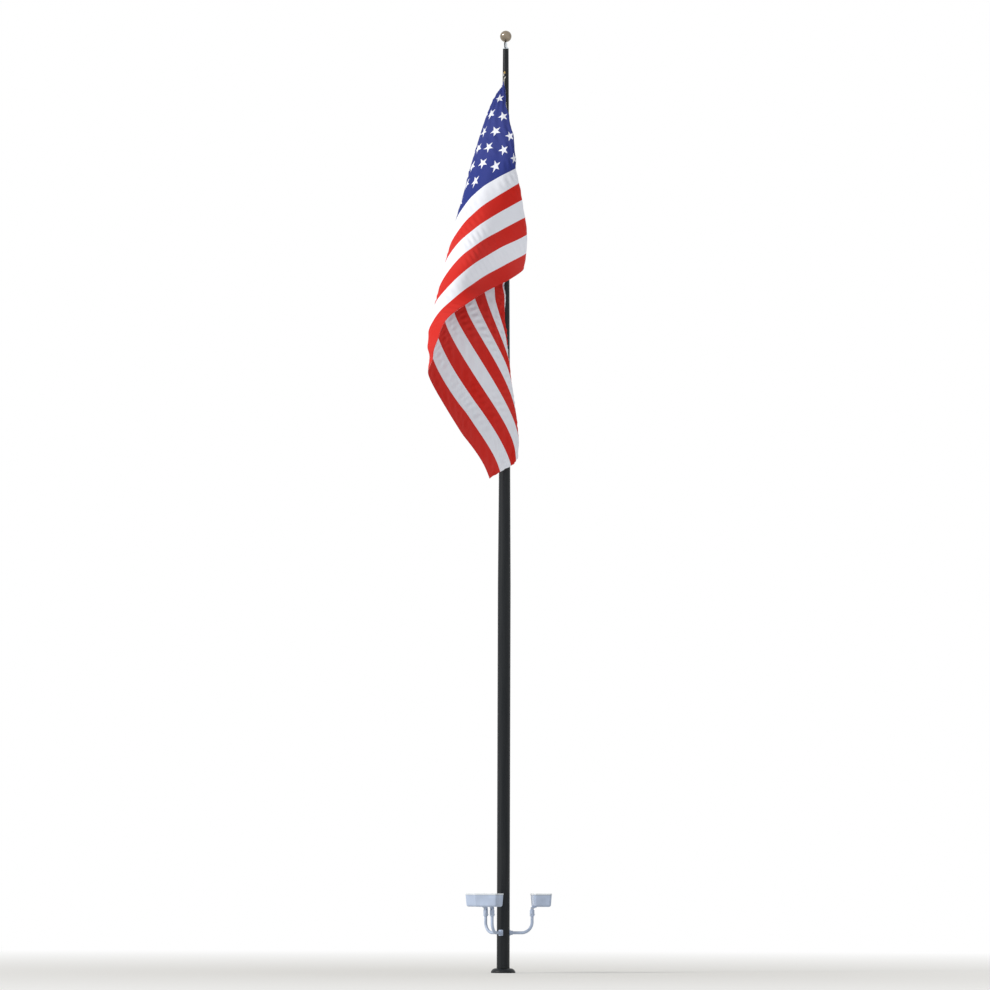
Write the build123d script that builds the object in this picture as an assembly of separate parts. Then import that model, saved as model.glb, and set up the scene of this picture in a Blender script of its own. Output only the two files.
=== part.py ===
from build123d import *
import math
import os

# Flagpole with a revolving truck, a hanging flag and three floodlights on pipe arms.
# Millimetres, +Z up. The origin is the centre of the shaft's butt, at ground level.
# +X is to the right and -Y towards the viewer.

# Shaft: straight butt, then a straight taper, in two sections over an inner sleeve
POLE_HEIGHT = 18288.0
BUTT_DIAMETER = 254.0
TOP_DIAMETER = 114.3
SHAFT_WALL = 6.35
STRAIGHT_BUTT = 7620.0
JOINT_HEIGHT = 9144.0
SLEEVE_LENGTH = 610.0
SLEEVE_WALL = 6.0

# Gaps between pieces that seat on each other, and between a pin and its bore
SEAT_GAP = 0.3
RUNNING_GAP = 0.05

# Spun collar that covers the ground sleeve
COLLAR_DIAMETER = 480.0
COLLAR_HEIGHT = 104.0
COLLAR_RIM = 22.0
COLLAR_SHEET = 3.0
COLLAR_LIP = 14.0
COLLAR_BULGE_OUT = 0.7
COLLAR_BULGE_UP = 0.72

# Access door on the far side of the shaft, with its frame and lock
DOOR_WIDTH = 102.0
DOOR_HEIGHT = 254.0
DOOR_SILL = 1150.0
DOOR_AZIMUTH = 90.0
DOOR_FRAME_WIDTH = 14.0
DOOR_FRAME_DEPTH = 9.0
DOOR_CORNER = 18.0
LOCK_DIAMETER = 24.0
LOCK_STAND = 4.0

# Light arms: pipe, its saddle on the shaft and the slipfitter on its top end
ARM_AZIMUTHS = [7.5, 127.5, 247.5]
ARM_HEIGHT = 785.0
ARM_REACH = 570.0
ARM_PIPE = 60.3
ARM_WALL = 3.9
ARM_BEND = 210.0
SADDLE_WIDTH = 92.0
SADDLE_HEIGHT = 116.0
SADDLE_PLATE = 12.0
SADDLE_CORNER = 16.0
SADDLE_HUB = 84.0
SADDLE_HUB_LENGTH = 46.0
FITTER_DIAMETER = 92.0
FITTER_BOTTOM = 1110.0
FITTER_LENGTH = 120.0
FITTER_CAP = 14.0
FITTER_ROUND = 5.0

# Knuckle on which a floodlight tilts
KNUCKLE_RISE = 35.0
KNUCKLE_RADIUS = 28.0
EAR_THICKNESS = 14.0
TONGUE_WIDTH = 31.4
TONGUE_LENGTH = 112.0
TONGUE_TAPER = 6.0
TONGUE_LIFT = 1.0
EAR_GAP = 0.3
BOLT_DIAMETER = 16.0
BOLT_HEAD = 26.0
BOLT_HEAD_HEIGHT = 10.0

# Floodlight: cast housing with draft, door frame with its glass, and the reflector in it
LAMP_WIDTH = 500.0
LAMP_DEPTH = 360.0
HOUSING_HEIGHT = 233.0
HOUSING_DRAFT = 15.0
HOUSING_WALL = 4.0
HOUSING_CORNER = 48.0
HOUSING_FLOOR_ROUND = 46.0
HOUSING_RISE = 27.0
FRAME_HEIGHT = 28.0
FRAME_OVERHANG = 5.0
FRAME_WIDTH = 30.0
FRAME_LEDGE = 9.0
FRAME_ROUND = 6.0
GLASS_THICKNESS = 6.0
REFLECTOR_DEPTH = 120.0
REFLECTOR_SHEET = 2.0
REFLECTOR_FLOOR_WIDTH = 220.0
REFLECTOR_FLOOR_DEPTH = 120.0
REFLECTOR_FLANGE = 10.0
REFLECTOR_GAP = 1.5

# Truck: fixed spindle in the shaft's top, revolving housing, sheave, finial stem and ball
TRUCK_AZIMUTH = 258.0
SPINDLE_PLUG = 60.0
SPINDLE_FLANGE = 12.0
SPINDLE_DIAMETER = 44.0
SPINDLE_BORE = 24.0
SPINDLE_HEIGHT = 8.0
TRUCK_DISC = 96.0
TRUCK_DISC_HEIGHT = 16.0
CHEEK_THICKNESS = 8.0
CHEEK_INSET = 4.0
CHEEK_BEVEL = 10.0
CHEEK_SHOULDER = 14.0
SHEAVE_WIDTH = 22.0
SHEAVE_SIDE_GAP = 1.0
MOVING_GAP = 5.0
SHEAVE_FLANGE = 8.0
SHEAVE_LIP = 2.0
SHEAVE_PIN = 20.0
SHEAVE_PIN_STAND = 3.0
STEM_DIAMETER = 26.0
BALL_DIAMETER = 228.6
BALL_SHEET = 3.0
BALL_GAP = 4.5
STEM_SEAT = 6.0
STEM_IN_BALL = 4.0

# Halyard and what hangs on it
ROPE_DIAMETER = 8.0
ROPE_CLEARANCE = 9.0
ROPE_INSIDE = 300.0
TOP_SNAP_DROP = 500.0
SNAP_SPACING = 3900.0
SNAP_SLEEVE = 24.0
SNAP_SLEEVE_HEIGHT = 34.0
SNAP_RING = 16.0
SNAP_WIRE = 8.0
SNAP_ROOT = 2.0
RING_BEAD = 16.0
WEIGHT_DIAMETER = 44.0
WEIGHT_LENGTH = 280.0
WEIGHT_DROP = 110.0
WEIGHT_ROUND = 6.0
WEIGHT_LAP = 1.0

# Flag: cloth and canvas heading, hanging in one long fold on the viewer's side of the shaft
HEADING_WIDTH = 75.0
CLOTH_THICKNESS = 8.0
TAB_LENGTH = 60.0
TAB_EYE = 16.0
TAB_MARGIN = 14.0
HEADING_THICKNESS = 6.0
CLOTH_ROWS = 9
CLOTH_START = 0.03
CLOTH_CORNER_SHARE = 0.3
CLOTH_FULL_AT = 0.25
TAB_LAP = 0.01
# Lines that fan out from the cloth's top corner, from the hoist round to the fly. Each has a point at a third of
# its length, one at two thirds and one on the cloth's edge, measured from the corner. The first is the hoist's own.
HOIST_LINE = [(200.0, -850.0, -1200.0), (150.0, -950.0, -2450.0)]
CLOTH_LINES = [
    [(50.0, -1050.0, -1250.0), (300.0, -1250.0, -2600.0), (350.0, -700.0, -4000.0)],
    [(-100.0, -1050.0, -1300.0), (50.0, -1450.0, -2800.0), (100.0, -1100.0, -4200.0)],
    [(-350.0, -1050.0, -1450.0), (-300.0, -1700.0, -3000.0), (-350.0, -1650.0, -4500.0)],
    [(-500.0, -1000.0, -1600.0), (-650.0, -1850.0, -3250.0), (-750.0, -2100.0, -4800.0)],
    [(-550.0, -900.0, -1750.0), (-950.0, -1850.0, -3550.0), (-1100.0, -2450.0, -5200.0)],
    [(-550.0, -850.0, -1900.0), (-1050.0, -1700.0, -3850.0), (-1250.0, -2550.0, -5500.0)],
    [(-500.0, -800.0, -2050.0), (-1050.0, -1600.0, -4100.0), (-1350.0, -2450.0, -5800.0)],
    [(-500.0, -750.0, -2200.0), (-1100.0, -1500.0, -4300.0), (-1450.0, -2300.0, -6050.0)],
    [(-550.0, -700.0, -2400.0), (-1050.0, -1350.0, -4700.0), (-1150.0, -2000.0, -6650.0)],
    [(-650.0, -600.0, -2650.0), (-850.0, -1150.0, -5000.0), (-750.0, -1650.0, -7250.0)],
    [(-750.0, -450.0, -3000.0), (-600.0, -900.0, -5450.0), (-250.0, -1300.0, -8150.0)],
    [(-750.0, -250.0, -2900.0), (-300.0, -700.0, -5250.0), (150.0, -850.0, -7850.0)],
    [(-600.0, -50.0, -2800.0), (0.0, -350.0, -5100.0), (250.0, -200.0, -7550.0)],
    [(-350.0, 100.0, -2650.0), (-200.0, 0.0, -5000.0), (50.0, -50.0, -7250.0)],
    [(0.0, -100.0, -2500.0), (-350.0, -100.0, -4750.0), (-300.0, -50.0, -6850.0)],
]


def shaft_radius(height):
    if height <= STRAIGHT_BUTT:
        return BUTT_DIAMETER / 2
    climbed = (height - STRAIGHT_BUTT) / (POLE_HEIGHT - STRAIGHT_BUTT)
    return BUTT_DIAMETER / 2 + climbed * (TOP_DIAMETER - BUTT_DIAMETER) / 2


def turned(*edges):
    return revolve(make_face([Plane.XZ * edge for edge in edges]), Axis.Z)


def turned_outline(points):
    return revolve(make_face(Plane.XZ * Polyline(*points, close=True)), Axis.Z)


def ring(outer, inner, bottom, top):
    return turned_outline([(inner, bottom), (outer, bottom), (outer, top), (inner, top)])


def disc(radius, bottom, top):
    return Pos(0, 0, (bottom + top) / 2) * Cylinder(radius, top - bottom)


def block(x_from, x_to, y_from, y_to, z_from, z_to):
    centre = Pos((x_from + x_to) / 2, (y_from + y_to) / 2, (z_from + z_to) / 2)
    return centre * Box(x_to - x_from, y_to - y_from, z_to - z_from)


def cross_pin(radius, x, z, length):
    return Pos(x, 0, z) * Rot(90, 0, 0) * Cylinder(radius, length)


def turned_to(azimuth, solid):
    return Rot(0, 0, azimuth) * solid


# Shaft

def door_block(width, height, corner, inner, outer):
    outline = Plane.YZ * Pos(0, DOOR_SILL + DOOR_HEIGHT / 2) * RectangleRounded(width, height, corner)
    curved = ring(outer, inner, DOOR_SILL - DOOR_HEIGHT, DOOR_SILL + 2 * DOOR_HEIGHT)
    return turned_to(DOOR_AZIMUTH, extrude(outline, BUTT_DIAMETER) & curved)


def pole_lower():
    butt = BUTT_DIAMETER / 2
    joint = shaft_radius(JOINT_HEIGHT)
    shaft = turned_outline([
        (butt - SHAFT_WALL, 0),
        (butt, 0),
        (butt, STRAIGHT_BUTT),
        (joint, JOINT_HEIGHT),
        (joint - SHAFT_WALL, JOINT_HEIGHT),
        (butt - SHAFT_WALL, STRAIGHT_BUTT),
    ])
    opening = door_block(DOOR_WIDTH, DOOR_HEIGHT, DOOR_CORNER, butt - 2 * SHAFT_WALL, butt + SHAFT_WALL)
    return shaft - opening


def pole_upper():
    joint = shaft_radius(JOINT_HEIGHT)
    top = TOP_DIAMETER / 2
    return turned_outline([
        (joint - SHAFT_WALL, JOINT_HEIGHT),
        (joint, JOINT_HEIGHT),
        (top, POLE_HEIGHT),
        (top - SHAFT_WALL, POLE_HEIGHT),
    ])


def splice_sleeve():
    bottom = JOINT_HEIGHT - SLEEVE_LENGTH / 2
    top = JOINT_HEIGHT + SLEEVE_LENGTH / 2
    lower = shaft_radius(bottom) - SHAFT_WALL - SEAT_GAP
    upper = shaft_radius(top) - SHAFT_WALL - SEAT_GAP
    return turned_outline([
        (lower - SLEEVE_WALL, bottom),
        (lower, bottom),
        (upper, top),
        (upper - SLEEVE_WALL, top),
    ])


def flash_collar():
    rim = COLLAR_DIAMETER / 2
    neck = BUTT_DIAMETER / 2 + SEAT_GAP
    sheet = COLLAR_SHEET
    shoulder = COLLAR_HEIGHT - COLLAR_LIP
    bulge_r = neck + COLLAR_BULGE_OUT * (rim - neck)
    bulge_z = COLLAR_RIM + COLLAR_BULGE_UP * (shoulder - COLLAR_RIM)
    outline = [
        Line((rim - sheet, 0), (rim, 0)),
        Line((rim, 0), (rim, COLLAR_RIM)),
        ThreePointArc((rim, COLLAR_RIM), (bulge_r, bulge_z), (neck + sheet, shoulder)),
        Line((neck + sheet, shoulder), (neck + sheet, COLLAR_HEIGHT)),
        Line((neck + sheet, COLLAR_HEIGHT), (neck, COLLAR_HEIGHT)),
        Line((neck, COLLAR_HEIGHT), (neck, shoulder - sheet)),
        ThreePointArc((neck, shoulder - sheet), (bulge_r - sheet, bulge_z - sheet), (rim - sheet, COLLAR_RIM)),
        Line((rim - sheet, COLLAR_RIM), (rim - sheet, 0)),
    ]
    return turned(*outline)


def door_frame():
    face = BUTT_DIAMETER / 2 - SHAFT_WALL - SEAT_GAP
    back = face - DOOR_FRAME_DEPTH
    frame = door_block(
        DOOR_WIDTH + 2 * DOOR_FRAME_WIDTH, DOOR_HEIGHT + 2 * DOOR_FRAME_WIDTH,
        DOOR_CORNER + DOOR_FRAME_WIDTH, back, face)
    window = door_block(
        DOOR_WIDTH - DOOR_FRAME_WIDTH, DOOR_HEIGHT - DOOR_FRAME_WIDTH,
        DOOR_CORNER - DOOR_FRAME_WIDTH / 2, back - DOOR_FRAME_DEPTH, face + DOOR_FRAME_DEPTH)
    return frame - window


def lock_bore(radius, inner, outer):
    centre = Pos((inner + outer) / 2, 0, DOOR_SILL + DOOR_HEIGHT / 2)
    return turned_to(DOOR_AZIMUTH, centre * Rot(0, 90, 0) * Cylinder(radius, outer - inner))


def access_door():
    face = BUTT_DIAMETER / 2
    plate = door_block(
        DOOR_WIDTH - 2 * SEAT_GAP, DOOR_HEIGHT - 2 * SEAT_GAP, DOOR_CORNER - SEAT_GAP,
        face - SHAFT_WALL, face)
    return plate - lock_bore(LOCK_DIAMETER / 2 + SEAT_GAP, face - 3 * SHAFT_WALL, face + SHAFT_WALL)


def door_lock():
    face = BUTT_DIAMETER / 2
    return lock_bore(LOCK_DIAMETER / 2, face - 2 * SHAFT_WALL, face + LOCK_STAND)


# Light arms, each made along +X and turned to its azimuth

def arm_saddle():
    face = BUTT_DIAMETER / 2 + SEAT_GAP
    hub_end = face + SADDLE_PLATE + SADDLE_HUB_LENGTH
    plate = Plane.YZ * Pos(0, ARM_HEIGHT) * RectangleRounded(SADDLE_WIDTH, SADDLE_HEIGHT, SADDLE_CORNER)
    curved = ring(face + SADDLE_PLATE, face, ARM_HEIGHT - SADDLE_HEIGHT, ARM_HEIGHT + SADDLE_HEIGHT)
    hub = Pos((face + hub_end) / 2, 0, ARM_HEIGHT) * Rot(0, 90, 0) * Cylinder(SADDLE_HUB / 2, hub_end - face)
    hub -= disc(face, ARM_HEIGHT - SADDLE_HEIGHT, ARM_HEIGHT + SADDLE_HEIGHT)
    socket = Pos(face + SADDLE_PLATE + ARM_REACH / 2, 0, ARM_HEIGHT) * Rot(0, 90, 0) * Cylinder(
        ARM_PIPE / 2 + SEAT_GAP, ARM_REACH)
    return (extrude(plate, BUTT_DIAMETER) & curved) + hub - socket


def light_arm():
    start = BUTT_DIAMETER / 2 + 2 * SEAT_GAP + SADDLE_PLATE
    top = FITTER_BOTTOM + FITTER_LENGTH - FITTER_CAP - SEAT_GAP
    bend_x = ARM_REACH - ARM_BEND
    bend_z = ARM_HEIGHT + ARM_BEND
    half = ARM_BEND * (1 - math.sqrt(0.5))
    route = Curve() + [
        Line((start, 0, ARM_HEIGHT), (bend_x, 0, ARM_HEIGHT)),
        ThreePointArc(
            (bend_x, 0, ARM_HEIGHT),
            (ARM_REACH - half, 0, ARM_HEIGHT + half),
            (ARM_REACH, 0, bend_z)),
        Line((ARM_REACH, 0, bend_z), (ARM_REACH, 0, top)),
    ]
    section = Plane((start, 0, ARM_HEIGHT), z_dir=(1, 0, 0)) * (
        Circle(ARM_PIPE / 2) - Circle(ARM_PIPE / 2 - ARM_WALL))
    return sweep(section, path=Wire(route.edges()))


def knuckle_height():
    return FITTER_BOTTOM + FITTER_LENGTH + KNUCKLE_RISE


def slipfitter():
    top = FITTER_BOTTOM + FITTER_LENGTH
    body = disc(FITTER_DIAMETER / 2, FITTER_BOTTOM, top)
    body -= disc(ARM_PIPE / 2 + SEAT_GAP, FITTER_BOTTOM - FITTER_CAP, top - FITTER_CAP)
    body = fillet(body.edges().filter_by(GeomType.CIRCLE).group_by(Axis.Z)[-1], FITTER_ROUND)
    inner = TONGUE_WIDTH / 2 + EAR_GAP
    outer = inner + EAR_THICKNESS
    ears = cross_pin(KNUCKLE_RADIUS, 0, knuckle_height(), 2 * outer)
    ears += block(-KNUCKLE_RADIUS, KNUCKLE_RADIUS, -outer, outer, top - FITTER_CAP / 2, knuckle_height())
    ears -= block(-FITTER_DIAMETER, FITTER_DIAMETER, -inner, inner, top, knuckle_height() + FITTER_DIAMETER)
    body += ears
    body -= cross_pin(BOLT_DIAMETER / 2 + RUNNING_GAP, 0, knuckle_height(), 3 * outer)
    return Pos(ARM_REACH, 0, 0) * body


def knuckle_bolt():
    grip = TONGUE_WIDTH / 2 + EAR_GAP + EAR_THICKNESS + SEAT_GAP
    length = 2 * (grip + BOLT_HEAD_HEIGHT)
    bolt = cross_pin(BOLT_DIAMETER / 2, 0, knuckle_height(), length)
    for side in (-1, 1):
        head = extrude(Plane.XZ * RegularPolygon(BOLT_HEAD / 2, 6), BOLT_HEAD_HEIGHT / 2, both=True)
        bolt += Pos(0, side * (grip + BOLT_HEAD_HEIGHT / 2), knuckle_height()) * head
    return Pos(ARM_REACH, 0, 0) * bolt


# Floodlights, lens up, with the knuckle under the end nearer the shaft

def lamp_outline(height, inset, corner):
    centre = ARM_REACH + LAMP_DEPTH / 2
    return Plane.XY.offset(height) * Pos(centre, 0) * RectangleRounded(
        LAMP_DEPTH - 2 * inset, LAMP_WIDTH - 2 * inset, corner)


def housing_form(inset):
    bottom = knuckle_height() + HOUSING_RISE + inset
    top = knuckle_height() + HOUSING_RISE + HOUSING_HEIGHT
    form = loft([
        lamp_outline(bottom, HOUSING_DRAFT + inset, HOUSING_CORNER - inset),
        lamp_outline(top, inset, HOUSING_CORNER - inset),
    ])
    return fillet(form.edges().group_by(Axis.Z)[0], HOUSING_FLOOR_ROUND - inset)


def flood_housing():
    axis_z = knuckle_height()
    cavity = housing_form(HOUSING_WALL)
    lug_top = axis_z + HOUSING_RISE + HOUSING_FLOOR_ROUND
    lug_side = [
        (-KNUCKLE_RADIUS, axis_z),
        (KNUCKLE_RADIUS, axis_z - TONGUE_TAPER),
        (TONGUE_LENGTH, axis_z + HOUSING_RISE + TONGUE_LIFT),
        (TONGUE_LENGTH, lug_top),
        (HOUSING_DRAFT, lug_top),
    ]
    lug = extrude(make_face(Plane.XZ * Polyline(*lug_side, close=True)), TONGUE_WIDTH / 2, both=True)
    lug += cross_pin(KNUCKLE_RADIUS, 0, axis_z, TONGUE_WIDTH)
    lug -= cross_pin(BOLT_DIAMETER / 2 + RUNNING_GAP, 0, axis_z, 2 * TONGUE_WIDTH)
    return housing_form(0) + Pos(ARM_REACH, 0, 0) * lug - cavity


def flood_door():
    bottom = knuckle_height() + HOUSING_RISE + HOUSING_HEIGHT
    outer = extrude(lamp_outline(bottom, -FRAME_OVERHANG, HOUSING_CORNER + FRAME_OVERHANG), FRAME_HEIGHT)
    outer = fillet(outer.edges().group_by(Axis.Z)[-1], FRAME_ROUND)
    sight = FRAME_WIDTH - FRAME_OVERHANG
    outer -= extrude(lamp_outline(bottom, sight, HOUSING_CORNER - sight), FRAME_HEIGHT)
    seat = lamp_outline(bottom, sight - FRAME_LEDGE, HOUSING_CORNER - sight + FRAME_LEDGE)
    return outer - extrude(seat, GLASS_THICKNESS + SEAT_GAP)


def flood_lens():
    bottom = knuckle_height() + HOUSING_RISE + HOUSING_HEIGHT + SEAT_GAP
    inset = FRAME_WIDTH - FRAME_OVERHANG - FRAME_LEDGE + SEAT_GAP
    return extrude(lamp_outline(bottom, inset, HOUSING_CORNER - inset), GLASS_THICKNESS - SEAT_GAP)


def flood_reflector():
    top = knuckle_height() + HOUSING_RISE + HOUSING_HEIGHT
    edge = HOUSING_WALL + REFLECTOR_GAP
    flange = extrude(lamp_outline(top - REFLECTOR_SHEET, edge, HOUSING_CORNER - edge), REFLECTOR_SHEET)
    centre = ARM_REACH + LAMP_DEPTH / 2

    def bowl(grow):
        floor = Plane.XY.offset(top - REFLECTOR_DEPTH - grow) * Pos(centre, 0) * RectangleRounded(
            REFLECTOR_FLOOR_DEPTH + 2 * grow, REFLECTOR_FLOOR_WIDTH + 2 * grow, REFLECTOR_FLANGE + grow)
        mouth = lamp_outline(top, edge + REFLECTOR_FLANGE - grow, HOUSING_CORNER - edge - REFLECTOR_FLANGE + grow)
        return loft([floor, mouth])

    return flange + bowl(REFLECTOR_SHEET) - bowl(0)


# Truck and finial, made with the halyard's side along +X and turned to its azimuth

def rope_radius():
    lowest = POLE_HEIGHT - TOP_SNAP_DROP - SNAP_SPACING - WEIGHT_DROP
    return shaft_radius(lowest) + ROPE_CLEARANCE + ROPE_DIAMETER / 2


def sheave_radius():
    return rope_radius() / 2


def sheave_height():
    rim = sheave_radius() + SHEAVE_FLANGE
    over_spindle = math.sqrt(rim ** 2 - (sheave_radius() - SPINDLE_DIAMETER / 2) ** 2)
    return POLE_HEIGHT + SPINDLE_FLANGE + SPINDLE_HEIGHT + MOVING_GAP + over_spindle


def bridge_top():
    return sheave_height() + sheave_radius() + SHEAVE_FLANGE + BALL_GAP - STEM_SEAT


def ball_centre():
    return bridge_top() + STEM_SEAT + BALL_DIAMETER / 2


def truck_spindle():
    bore = SPINDLE_BORE / 2
    top = TOP_DIAMETER / 2
    flange = POLE_HEIGHT + SPINDLE_FLANGE
    return turned_outline([
        (bore, POLE_HEIGHT - SPINDLE_PLUG),
        (top - SHAFT_WALL - SEAT_GAP, POLE_HEIGHT - SPINDLE_PLUG),
        (top - SHAFT_WALL - SEAT_GAP, POLE_HEIGHT),
        (top, POLE_HEIGHT),
        (top, flange),
        (SPINDLE_DIAMETER / 2, flange),
        (SPINDLE_DIAMETER / 2, flange + SPINDLE_HEIGHT),
        (bore, flange + SPINDLE_HEIGHT),
    ])


def truck_housing():
    bottom = POLE_HEIGHT + SPINDLE_FLANGE + SEAT_GAP
    body = disc(TRUCK_DISC / 2, bottom, bottom + TRUCK_DISC_HEIGHT)
    flange = sheave_radius() + SHEAVE_FLANGE
    inner = SHEAVE_WIDTH / 2 + SHEAVE_SIDE_GAP
    outer = inner + CHEEK_THICKNESS
    cheek_side = [
        (-TRUCK_DISC / 2 + CHEEK_INSET, bottom + TRUCK_DISC_HEIGHT / 2),
        (rope_radius() - CHEEK_INSET, bottom + TRUCK_DISC_HEIGHT / 2),
        (rope_radius() - CHEEK_INSET, sheave_height() + CHEEK_SHOULDER),
        (sheave_radius() + CHEEK_BEVEL, bridge_top()),
        (-TRUCK_DISC / 4, bridge_top()),
        (-TRUCK_DISC / 2 + CHEEK_INSET, bottom + TRUCK_DISC_HEIGHT + CHEEK_BEVEL),
    ]
    body += extrude(make_face(Plane.XZ * Polyline(*cheek_side, close=True)), outer, both=True)
    body -= cross_pin(flange + SHEAVE_SIDE_GAP, sheave_radius(), sheave_height(), 2 * inner)
    body -= block(sheave_radius(), 2 * rope_radius(), -inner, inner, bottom - 1, bridge_top() + 1)
    spindle_top = POLE_HEIGHT + SPINDLE_FLANGE + SPINDLE_HEIGHT
    body -= disc(SPINDLE_DIAMETER / 2 + RUNNING_GAP, bottom - 1, spindle_top + MOVING_GAP)
    body -= disc(ROPE_DIAMETER, bottom, sheave_height())
    body -= cross_pin(SHEAVE_PIN / 2 + RUNNING_GAP, sheave_radius(), sheave_height(), 4 * outer)
    return turned_to(TRUCK_AZIMUTH, body)


def sheave():
    rim = sheave_radius() + SHEAVE_FLANGE
    groove = sheave_radius() - ROPE_DIAMETER / 2 - SEAT_GAP
    half = SHEAVE_WIDTH / 2
    bore = SHEAVE_PIN / 2 + RUNNING_GAP
    wheel = turned_outline([
        (bore, -half),
        (rim, -half),
        (rim, -half + SHEAVE_LIP),
        (groove, -ROPE_DIAMETER / 2),
        (groove, ROPE_DIAMETER / 2),
        (rim, half - SHEAVE_LIP),
        (rim, half),
        (bore, half),
    ])
    return turned_to(TRUCK_AZIMUTH, Pos(sheave_radius(), 0, sheave_height()) * Rot(90, 0, 0) * wheel)


def sheave_pin():
    length = SHEAVE_WIDTH + 2 * SHEAVE_SIDE_GAP + 2 * CHEEK_THICKNESS + 2 * SHEAVE_PIN_STAND
    return turned_to(TRUCK_AZIMUTH, cross_pin(SHEAVE_PIN / 2, sheave_radius(), sheave_height(), length))


def finial_stem():
    sunk = math.sqrt((BALL_DIAMETER / 2) ** 2 - (STEM_DIAMETER / 2) ** 2)
    return disc(STEM_DIAMETER / 2, bridge_top(), ball_centre() - sunk - SEAT_GAP + STEM_IN_BALL)


def finial_ball():
    centre = ball_centre()
    ball = Pos(0, 0, centre) * Sphere(BALL_DIAMETER / 2)
    hollow = Pos(0, 0, centre) * Sphere(BALL_DIAMETER / 2 - BALL_SHEET)
    hole = disc(STEM_DIAMETER / 2 + SEAT_GAP, centre - BALL_DIAMETER, centre - BALL_DIAMETER / 4)
    return ball - hollow - hole


# Halyard, snaps, retainer ring and weight

def halyard():
    out = rope_radius()
    crown = sheave_height()
    weight_top = POLE_HEIGHT - TOP_SNAP_DROP - SNAP_SPACING - WEIGHT_DROP
    route = Curve() + [
        Line((0, 0, POLE_HEIGHT - ROPE_INSIDE), (0, 0, crown)),
        ThreePointArc((0, 0, crown), (out / 2, 0, crown + out / 2), (out, 0, crown)),
        Line((out, 0, crown), (out, 0, weight_top)),
    ]
    section = Pos(0, 0, POLE_HEIGHT - ROPE_INSIDE) * Circle(ROPE_DIAMETER / 2)
    return turned_to(TRUCK_AZIMUTH, sweep(section, path=Wire(route.edges())))


def link_radius():
    return rope_radius() + SNAP_SLEEVE / 2 + SNAP_WIRE


def snap(height, side):
    out = rope_radius()
    sleeve = ring(SNAP_SLEEVE / 2, ROPE_DIAMETER / 2 + SEAT_GAP, height, height + SNAP_SLEEVE_HEIGHT)
    hook = Pos(out, 0, 0) * sleeve
    middle = height + SNAP_SLEEVE_HEIGHT / 2
    link = Pos(link_radius(), 0, middle - side * SNAP_RING) * Rot(0, 90, 0) * Torus(SNAP_RING, SNAP_WIRE / 2)
    hook += link
    hook += block(out + SNAP_SLEEVE / 2 - SNAP_ROOT, link_radius(), -SNAP_WIRE / 2, SNAP_WIRE / 2,
                  middle - SNAP_WIRE / 2, middle + SNAP_WIRE / 2)
    return turned_to(TRUCK_AZIMUTH, hook)


def eye_height(side):
    top = POLE_HEIGHT - TOP_SNAP_DROP
    base = top if side > 0 else top - SNAP_SPACING
    slack = TAB_EYE / 2 - SNAP_WIRE / 2 - 2 * SEAT_GAP
    return base + SNAP_SLEEVE_HEIGHT / 2 - side * (2 * SNAP_RING + slack)


def retainer_ring():
    height = POLE_HEIGHT - TOP_SNAP_DROP - SNAP_SPACING - SNAP_SLEEVE_HEIGHT
    centre = rope_radius() + ROPE_DIAMETER / 2 + RING_BEAD / 2 + SEAT_GAP
    return Pos(0, 0, height) * Torus(centre, RING_BEAD / 2)


def counterweight():
    top = POLE_HEIGHT - TOP_SNAP_DROP - SNAP_SPACING - WEIGHT_DROP
    centre = rope_radius() + WEIGHT_DIAMETER / 2 - ROPE_DIAMETER / 2 - WEIGHT_LAP
    weight = Pos(centre, 0, 0) * disc(WEIGHT_DIAMETER / 2, top - WEIGHT_LENGTH, top)
    weight = fillet(weight.edges().filter_by(GeomType.CIRCLE), WEIGHT_ROUND)
    return turned_to(TRUCK_AZIMUTH, weight)


# Flag cloth and heading: sheets of triangles between rows of points, thin at the corner they hang from

def sheet_solid(rows, thicknesses, first, last):
    down = len(rows)
    across = len(rows[0])

    def lean(i, j):
        above = rows[max(i - 1, 0)][j]
        below = rows[min(i + 1, down - 1)][j]
        left = rows[i][max(j - 1, 0)]
        right = rows[i][min(j + 1, across - 1)]
        return (below - above).cross(right - left).normalized() * (thicknesses[i] / 2)

    front = [[rows[i][j] + lean(i, j) for j in range(first, last + 1)] for i in range(down)]
    back = [[rows[i][j] - lean(i, j) for j in range(first, last + 1)] for i in range(down)]
    faces = []

    def quad(a, b, c, d):
        faces.append(Face(Wire.make_polygon([a, b, c], close=True)))
        faces.append(Face(Wire.make_polygon([a, c, d], close=True)))

    for i in range(down - 1):
        for j in range(last - first):
            quad(front[i][j], front[i][j + 1], front[i + 1][j + 1], front[i + 1][j])
            quad(back[i][j], back[i][j + 1], back[i + 1][j + 1], back[i + 1][j])
        quad(front[i][0], front[i + 1][0], back[i + 1][0], back[i][0])
        quad(front[i][-1], front[i + 1][-1], back[i + 1][-1], back[i][-1])
    for j in range(last - first):
        quad(front[0][j], front[0][j + 1], back[0][j + 1], back[0][j])
        quad(front[-1][j], front[-1][j + 1], back[-1][j + 1], back[-1][j])
    return Solid(Shell(faces))


def outward(radius):
    heading = math.radians(TRUCK_AZIMUTH)
    return Vector(radius * math.cos(heading), radius * math.sin(heading), 0)


def hoist_radius():
    return link_radius() - TAB_MARGIN


def hoist_top():
    return eye_height(1) - TAB_LENGTH


def hoist_length():
    return hoist_top() - eye_height(-1) - TAB_LENGTH


def bent_line(points, reach):
    upper, lower, end = [Vector(*point) for point in points]
    curve = upper * 13.5 * reach * (reach - 2 / 3) * (reach - 1)
    curve -= lower * 13.5 * reach * (reach - 1 / 3) * (reach - 1)
    return curve + end * 4.5 * reach * (reach - 1 / 3) * (reach - 2 / 3)


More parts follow.
